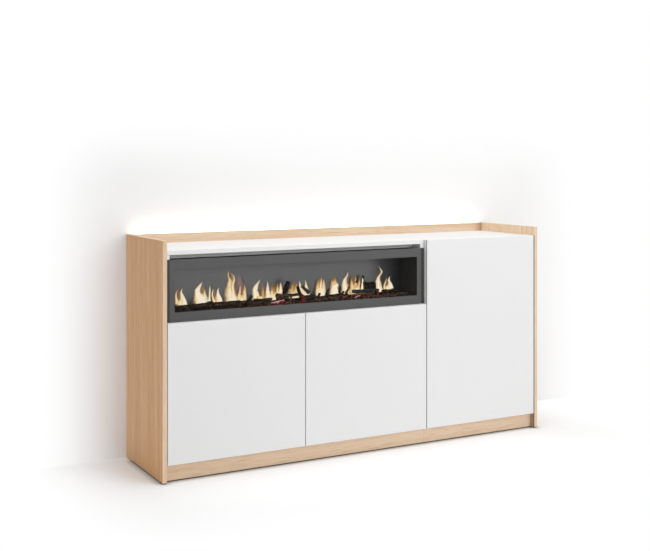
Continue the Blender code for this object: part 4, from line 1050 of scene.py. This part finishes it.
def makeScatterTree(name, shape):
    tree, start, end = newGeometryTree(name, (
        ("Density", "Float", 9000.0), ("Seed", "Int", 1), ("Least", "Vector", None),
        ("Most", "Vector", None), ("Turn", "Vector", None), ("Roughness", "Float", 0.004),
        ("Finish", "Material", None)))
    points = addNode(tree, "GeometryNodeDistributePointsOnFaces", {
        "Mesh": start["Geometry"], "Density": start["Density"], "Seed": start["Seed"]},
        distribute_method="RANDOM")
    back = addNode(tree, "ShaderNodeVectorMath", {0: start["Turn"], "Scale": -1}, operation="SCALE")
    size, turn, tint = (addNode(tree, "FunctionNodeRandomValue", {
        **span, "Seed": calculate(tree, "ADD", start["Seed"], scatter["seedStep"] * order)}, data_type=kind)
        for order, (kind, span) in enumerate((
            ("FLOAT_VECTOR", {0: start["Least"], 1: start["Most"]}),
            ("FLOAT_VECTOR", {0: back.outputs[0], 1: start["Turn"]}),
            ("FLOAT", {3: scatter["tint"]}))))
    instances = placeShapes(tree, points.outputs["Points"], shape, turn.outputs[0], size.outputs[0])
    tinted = addNode(tree, "GeometryNodeStoreNamedAttribute", {
        "Geometry": instances, "Name": "tint", "Value": tint.outputs[1]},
        data_type="FLOAT", domain="INSTANCE")
    texture = addNode(tree, "ShaderNodeTexNoise", {
        "Scale": scatter["dentScale"], "Detail": scatter["dentDetail"]})
    centred = calculate(tree, "SUBTRACT", texture.outputs["Color"], (0.5, 0.5, 0.5), "ShaderNodeVectorMath")
    push = addNode(tree, "ShaderNodeVectorMath", {0: centred, "Scale": start["Roughness"]}, operation="SCALE")
    move = addNode(tree, "GeometryNodeSetPosition", {
        "Geometry": realize(tree, tinted.outputs["Geometry"]), "Offset": push.outputs[0]})
    paintTree(tree, realize(tree, move.outputs["Geometry"]), start, end)
    return tree


coals = {
    "low": (-0.749, -0.1475), "high": (0.226, -0.0610), "height": 0.5560,
    "perSquareMetre": 10000, "seed": 11, "shape": ballShape,
    "least": (0.0045, 0.0030, 0.0030), "most": (0.0120, 0.0090, 0.0070),
    "turn": (3.1, 3.1, 3.1), "roughness": 0.0045,
}
backCoals = {
    "low": (-0.750, -0.0750), "high": (0.228, -0.0640), "height": 0.5585,
    "perSquareMetre": 15000, "seed": 31, "shape": ballShape,
    "least": (0.0070, 0.0060, 0.0060), "most": (0.0160, 0.0120, 0.0110),
    "turn": (3.1, 3.1, 3.1), "roughness": 0.0050,
}
kindling = {
    "low": (-0.735, -0.1320), "high": (0.205, -0.0760), "height": 0.5600,
    "perSquareMetre": 2800, "seed": 23, "shape": stickShape,
    "least": (0.0100, 0.0030, 0.0030), "most": (0.0300, 0.0070, 0.0070),
    "turn": (3.1, 0.30, 0.85), "roughness": 0.0050,
}


def scatterPiece(name, settings, slotName):
    (left, front), (right, back) = settings["low"], settings["high"]
    mesh = bpy.data.meshes.new(name + "_field")
    corners = ((left, front), (right, front), (right, back), (left, back))
    mesh.from_pydata([(x, y, settings["height"]) for x, y in corners], [], [(0, 1, 2, 3)])
    result = runTree(name, mesh, makeScatterTree(name, settings["shape"]), {
        "Density": float(settings["perSquareMetre"]), "Least": settings["least"], "Most": settings["most"],
        "Turn": settings["turn"], "Roughness": settings["roughness"], "Seed": settings["seed"],
        "Finish": logBark})
    addPiece(name, result, logBark, "cabinet", slotName)


scatterPiece("coals", coals, "ember_resin")
scatterPiece("back_coals", backCoals, "ember_resin")
scatterPiece("kindling", kindling, "log_resin")
print("coals and kindling scattered")

# Screws, nails and diodes: each tree puts one shape on given points and turns it to face outwards.
# Shapes are one unit across: a head is segments, rings and flatness.

heads = {
    "seed": 5,
    "screw": (14, 8, 0.36),
    "nail": (12, 6, 0.24),
    "cross": ((0.56, 0.13, 0.22), (0.13, 0.56, 0.22)),
    "crossLift": (0, 0, 0.17),
    "diode": (1.0, 0.8, 0.5),
}


def roundHead(tree, segments, rings, flatness):
    head = addNode(tree, "GeometryNodeMeshUVSphere", {"Segments": segments, "Rings": rings, "Radius": 0.5})
    return transformed(tree, head.outputs["Mesh"], Scale=(1, 1, flatness))


def box(tree, size):
    return addNode(tree, "GeometryNodeMeshCube", {"Size": size}).outputs["Mesh"]


def crossHead(tree):
    # Low round head with a cross cut into it
    cut = addNode(tree, "GeometryNodeMeshBoolean", {"Mesh 1": roundHead(tree, *heads["screw"])},
                  operation="DIFFERENCE")
    for size in heads["cross"]:
        feed(tree, cut, {"Mesh 2": transformed(tree, box(tree, size), Translation=heads["crossLift"])})
    return cut.outputs["Mesh"]


def nailHead(tree):
    return roundHead(tree, *heads["nail"])


def diodeShape(tree):
    return box(tree, heads["diode"])


def makePlacedTree(name, shape):
    tree, start, end = newGeometryTree(name, (
        ("Size", "Float", 0.006), ("Seed", "Int", 1), ("Finish", "Material", None)))
    points = addNode(tree, "GeometryNodeMeshToPoints", {"Mesh": start["Geometry"]}, mode="VERTICES")
    facing = addNode(tree, "GeometryNodeInputNamedAttribute", {"Name": "facing"}, data_type="FLOAT_VECTOR")
    aim = addNode(tree, "FunctionNodeAlignRotationToVector", {"Vector": facing.outputs["Attribute"]},
                  axis="Z")
    spin = addNode(tree, "FunctionNodeRandomValue", {1: (0, 0, math.pi / 2), "Seed": start["Seed"]},
                   data_type="FLOAT_VECTOR")
    turned = addNode(tree, "FunctionNodeRotateRotation", {
        "Rotation": aim.outputs["Rotation"], "Rotate By": spin.outputs[0]}, rotation_space="LOCAL")
    placed = placeShapes(tree, points.outputs["Points"], shape, turned.outputs["Rotation"], start["Size"])
    paintTree(tree, realize(tree, placed), start, end)
    return tree


def placePieces(name, tree, spots, size, slotName, body="cabinet"):
    # One plain mesh on one body; each spot is a place and the way that it faces
    mesh = bpy.data.meshes.new(name + "_spots")
    mesh.from_pydata([place for place, _ in spots], [], [])
    facing = mesh.attributes.new("facing", "FLOAT_VECTOR", "POINT")
    for item, (_, way) in zip(facing.data, spots):
        item.vector = way
    material = finishes[slotName]
    result = runTree(name, mesh, tree, {"Size": size, "Seed": heads["seed"], "Finish": material})
    addPiece(name, result, material, body, slotName)


hingeScrews = {
    "cupFace": -0.1576,
    "cupReach": 0.0215,
    "cupSize": 0.0066,
    "plateMiddle": -0.1180,
    "plateReach": 0.0165,
    "plateFace": 0.0028,
    "plateSize": 0.0074,
    "armFace": 0.0115,
    "armSpots": (-0.1225, -0.1000),
    "armSize": 0.0062,
    # hinge line of each door, its carcass face, the way into the cupboard and the hinges' heights
    "doors": {
        "left_door": (-0.7600, -0.7677, 1, (0.149, 0.436)),
        "middle_door": (0.2382, 0.2448, -1, (0.149, 0.436)),
        "right_door": (0.7600, 0.7677, -1, (0.149, 0.676)),
    },
}
latchScrews = {
    "size": 0.0052,
    "under": 0.0141,
    "spots": (-0.1440, -0.0980),
    "latches": ((-0.2989, 0.5098), (-0.2229, 0.5098), (0.3071, 0.7498)),
}
coverNails = {
    "face": 0.1520,
    "size": 0.0062,
    "spacing": 0.125,
    # from, to: the lines along which the back covers are nailed
    "lines": (*(((x, 0.067), (x, 0.693)) for x in (-0.7757, 0.2528, 0.2691, 0.7757)),
              ((-0.680, 0.067), (0.157, 0.067)), ((0.365, 0.067), (0.680, 0.067)),
              ((-0.680, 0.518), (0.157, 0.518)), ((-0.2609, 0.170), (-0.2609, 0.420))),
}
diodes = {"size": 0.0035, "top": 0.5312, "line": -0.0400, "from": -0.712, "to": 0.190, "count": 46}


def spread(start, end, spacing):
    count = max(1, round((Vector(end) - Vector(start)).length / spacing))
    return [Vector(start).lerp(Vector(end), i / count) for i in range(count + 1)]


def makeFasteners():
    crossTree = makePlacedTree("crossScrews", crossHead)
    h = hingeScrews
    plates, arms = [], []
    for door, (line, face, inward, heights) in h["doors"].items():
        pairs = [(z, side) for z in heights for side in (-1, 1)]
        cups = [((line, h["cupFace"], z + side * h["cupReach"]), (0, 1, 0)) for z, side in pairs]
        placePieces(door + "_screws", crossTree, cups, h["cupSize"], "bright_steel", door)
        plates += [((face + inward * h["plateFace"], h["plateMiddle"], z + side * h["plateReach"]),
                    (inward, 0, 0)) for z, side in pairs]
        arms += [((face + inward * h["armFace"], y, z), (inward, 0, 0))
                 for z in heights for y in h["armSpots"]]
    low = [((x, y, top - latchScrews["under"]), (0, 0, -1)) for x, top in latchScrews["latches"]
           for y in latchScrews["spots"]]
    nails = [((x, coverNails["face"], z), (0, 1, 0)) for start, end in coverNails["lines"]
             for x, z in spread(start, end, coverNails["spacing"])]
    d = diodes
    row = [((d["from"] + (d["to"] - d["from"]) * i / (d["count"] - 1), d["line"], d["top"]), (0, 0, 1))
           for i in range(d["count"])]
    for name, tree, spots, size, slotName in (
            ("plate_screws", crossTree, plates, h["plateSize"], "bright_steel"),
            ("arm_screws", crossTree, arms, h["armSize"], "bright_steel"),
            ("latch_screws", crossTree, low, latchScrews["size"], "bright_steel"),
            ("cover_nails", makePlacedTree("nails", nailHead), nails, coverNails["size"], "bright_steel"),
            ("board_diodes", makePlacedTree("diodes", diodeShape), row, d["size"], "lit_diffuser")):
        placePieces(name, tree, spots, size, slotName)


makeFasteners()
print("screws, nails and diodes placed")

# Dress the CAD nodes

# Painted shade on the frame's end strips: inner edge of each strip, softness, texture size, dark tones
frameSideShade = {"left": -0.768, "right": 0.2450, "soft": 0.0010, "size": 900.0,
              "tones": ((40, 36, 34), (52, 48, 46))}


def fromMiddle(tree, left, right):
    # How far to either side of the middle between two places
    along = calculate(tree, "SUBTRACT", coordinate(tree, "Object", "X"), (left + right) / 2)
    return calculate(tree, "ABSOLUTE", along)


def makeFrameSteel():
    # The dark steel, with painted shade on the strips at its left and right ends
    material, tree, shader, tone = makePlainFinish("frame_steel", plainFinishes["dark_steel"])
    left, right = frameSideShade["left"], frameSideShade["right"]
    edge = (right - left) / 2
    side = mapRange(tree, fromMiddle(tree, left, right), edge, edge + frameSideShade["soft"])
    grain = useGroup(tree, speckle, objectPlace(tree), Size=frameSideShade["size"])
    feed(tree, shader, {
        "Base Color": mixColour(tree, side, tone, mixTones(tree, grain["Grain"], frameSideShade["tones"]))})
    return material


# Side boards whose steel shelf pins stand out past the board: its own left and right faces
pinnedBoards = {
    "wide_left_side": (-0.80, -0.7676),
    "wide_right_side": (0.2447, 0.27),
    "narrow_left_side": (0.25, 0.2772),
    "narrow_right_side": (0.7676, 0.80),
    "centre_divider": (-0.2690, -0.2528),
}
pins = {"proud": 0.0001, "size": 800.0, "rough": (0.46, 0.26)}


def makePinnedBoard(name, left, right):
    material, tree, shader, tone = makePlainFinish(name, plainFinishes["white_board"])
    pin = calculate(tree, "GREATER_THAN", fromMiddle(tree, left, right), (right - left) / 2 + pins["proud"])
    grain = useGroup(tree, speckle, objectPlace(tree), Size=pins["size"])
    steel = mixTones(tree, grain["Grain"], plainFinishes["bright_steel"]["tones"])
    feed(tree, shader, {
        "Base Color": mixColour(tree, pin, tone, steel), "Metallic": pin,
        "Roughness": mapRange(tree, pin, 0.0, 1.0, *pins["rough"])})
    return material


# Painted shade in the narrow gaps beside the doors, in the plinth's recess and in the rail's corner:
# material, how dark, colour, then along each axis where the shade starts and where it is full
paintedGapShades = (
    ("oak_upright_pale", 0.95, (60, 40, 28),
     (("X", 0.7852, 0.7848), ("Y", -0.1708, -0.1712), ("Z", 0.7670, 0.7655))),
    ("oak_upright_pale", 0.55, (112, 74, 48),
     (("X", 0.7850, 0.7847), ("Y", -0.1535, -0.1545), ("Z", 0.0595, 0.0580))),
    ("white_front_right_painted_shade", 0.65, (60, 60, 60), (("X", 0.2628, 0.2625), ("Y", -0.1708, -0.1712))),
    ("white_front_middle_painted_shade", 0.35, (60, 60, 60), (("X", -0.2591, -0.2594), ("Y", -0.1705, -0.1709))),
    ("oak_rail", 0.60, (160, 108, 66), (("X", 0.745, 0.784),)),
)


def paintGapShade(name, strength, shade, spans):
    # Painted shade: a dark colour mixed into the base colour where all spans are full
    tree = finishes[name].node_tree
    shader = tree.nodes["Principled BSDF"]
    plain = shader.inputs["Base Color"].links[0].from_socket
    for axis, none, full in spans:
        strength = calculate(tree, "MULTIPLY", strength,
                             mapRange(tree, coordinate(tree, "Object", axis), none, full))
    feed(tree, shader, {"Base Color": mixColour(tree, strength, plain, linear(*shade))})


for values in paintedGapShades:
    paintGapShade(*values)
finishes["frame_steel"] = makeFrameSteel()
# The nodes that have a finish of their own instead of their slot's
dressed = {
    "left_outer_panel": "oak_upright", "right_outer_panel": "oak_upright_pale",
    "left_plinth": "oak_plinth", "right_plinth": "oak_plinth",
    "left_back_rail": "oak_rail", "right_back_rail": "oak_rail",
    "middle_door": "white_front_middle_painted_shade", "right_door": "white_front_right_painted_shade",
    "fireplace_frame": "frame_steel", "firebox_liner": "liner_steel",
}
for name, faces in pinnedBoards.items():
    dressed[name] = name + "_board"
    finishes[name + "_board"] = makePinnedBoard(name + "_board", *faces)
for part in frame["record"]["subparts"]:
    materials = cad[part["node"]].data.materials
    materials.clear()
    materials.append(finishes[dressed.get(part["node"], part["material_slot"])])
print("parts dressed")
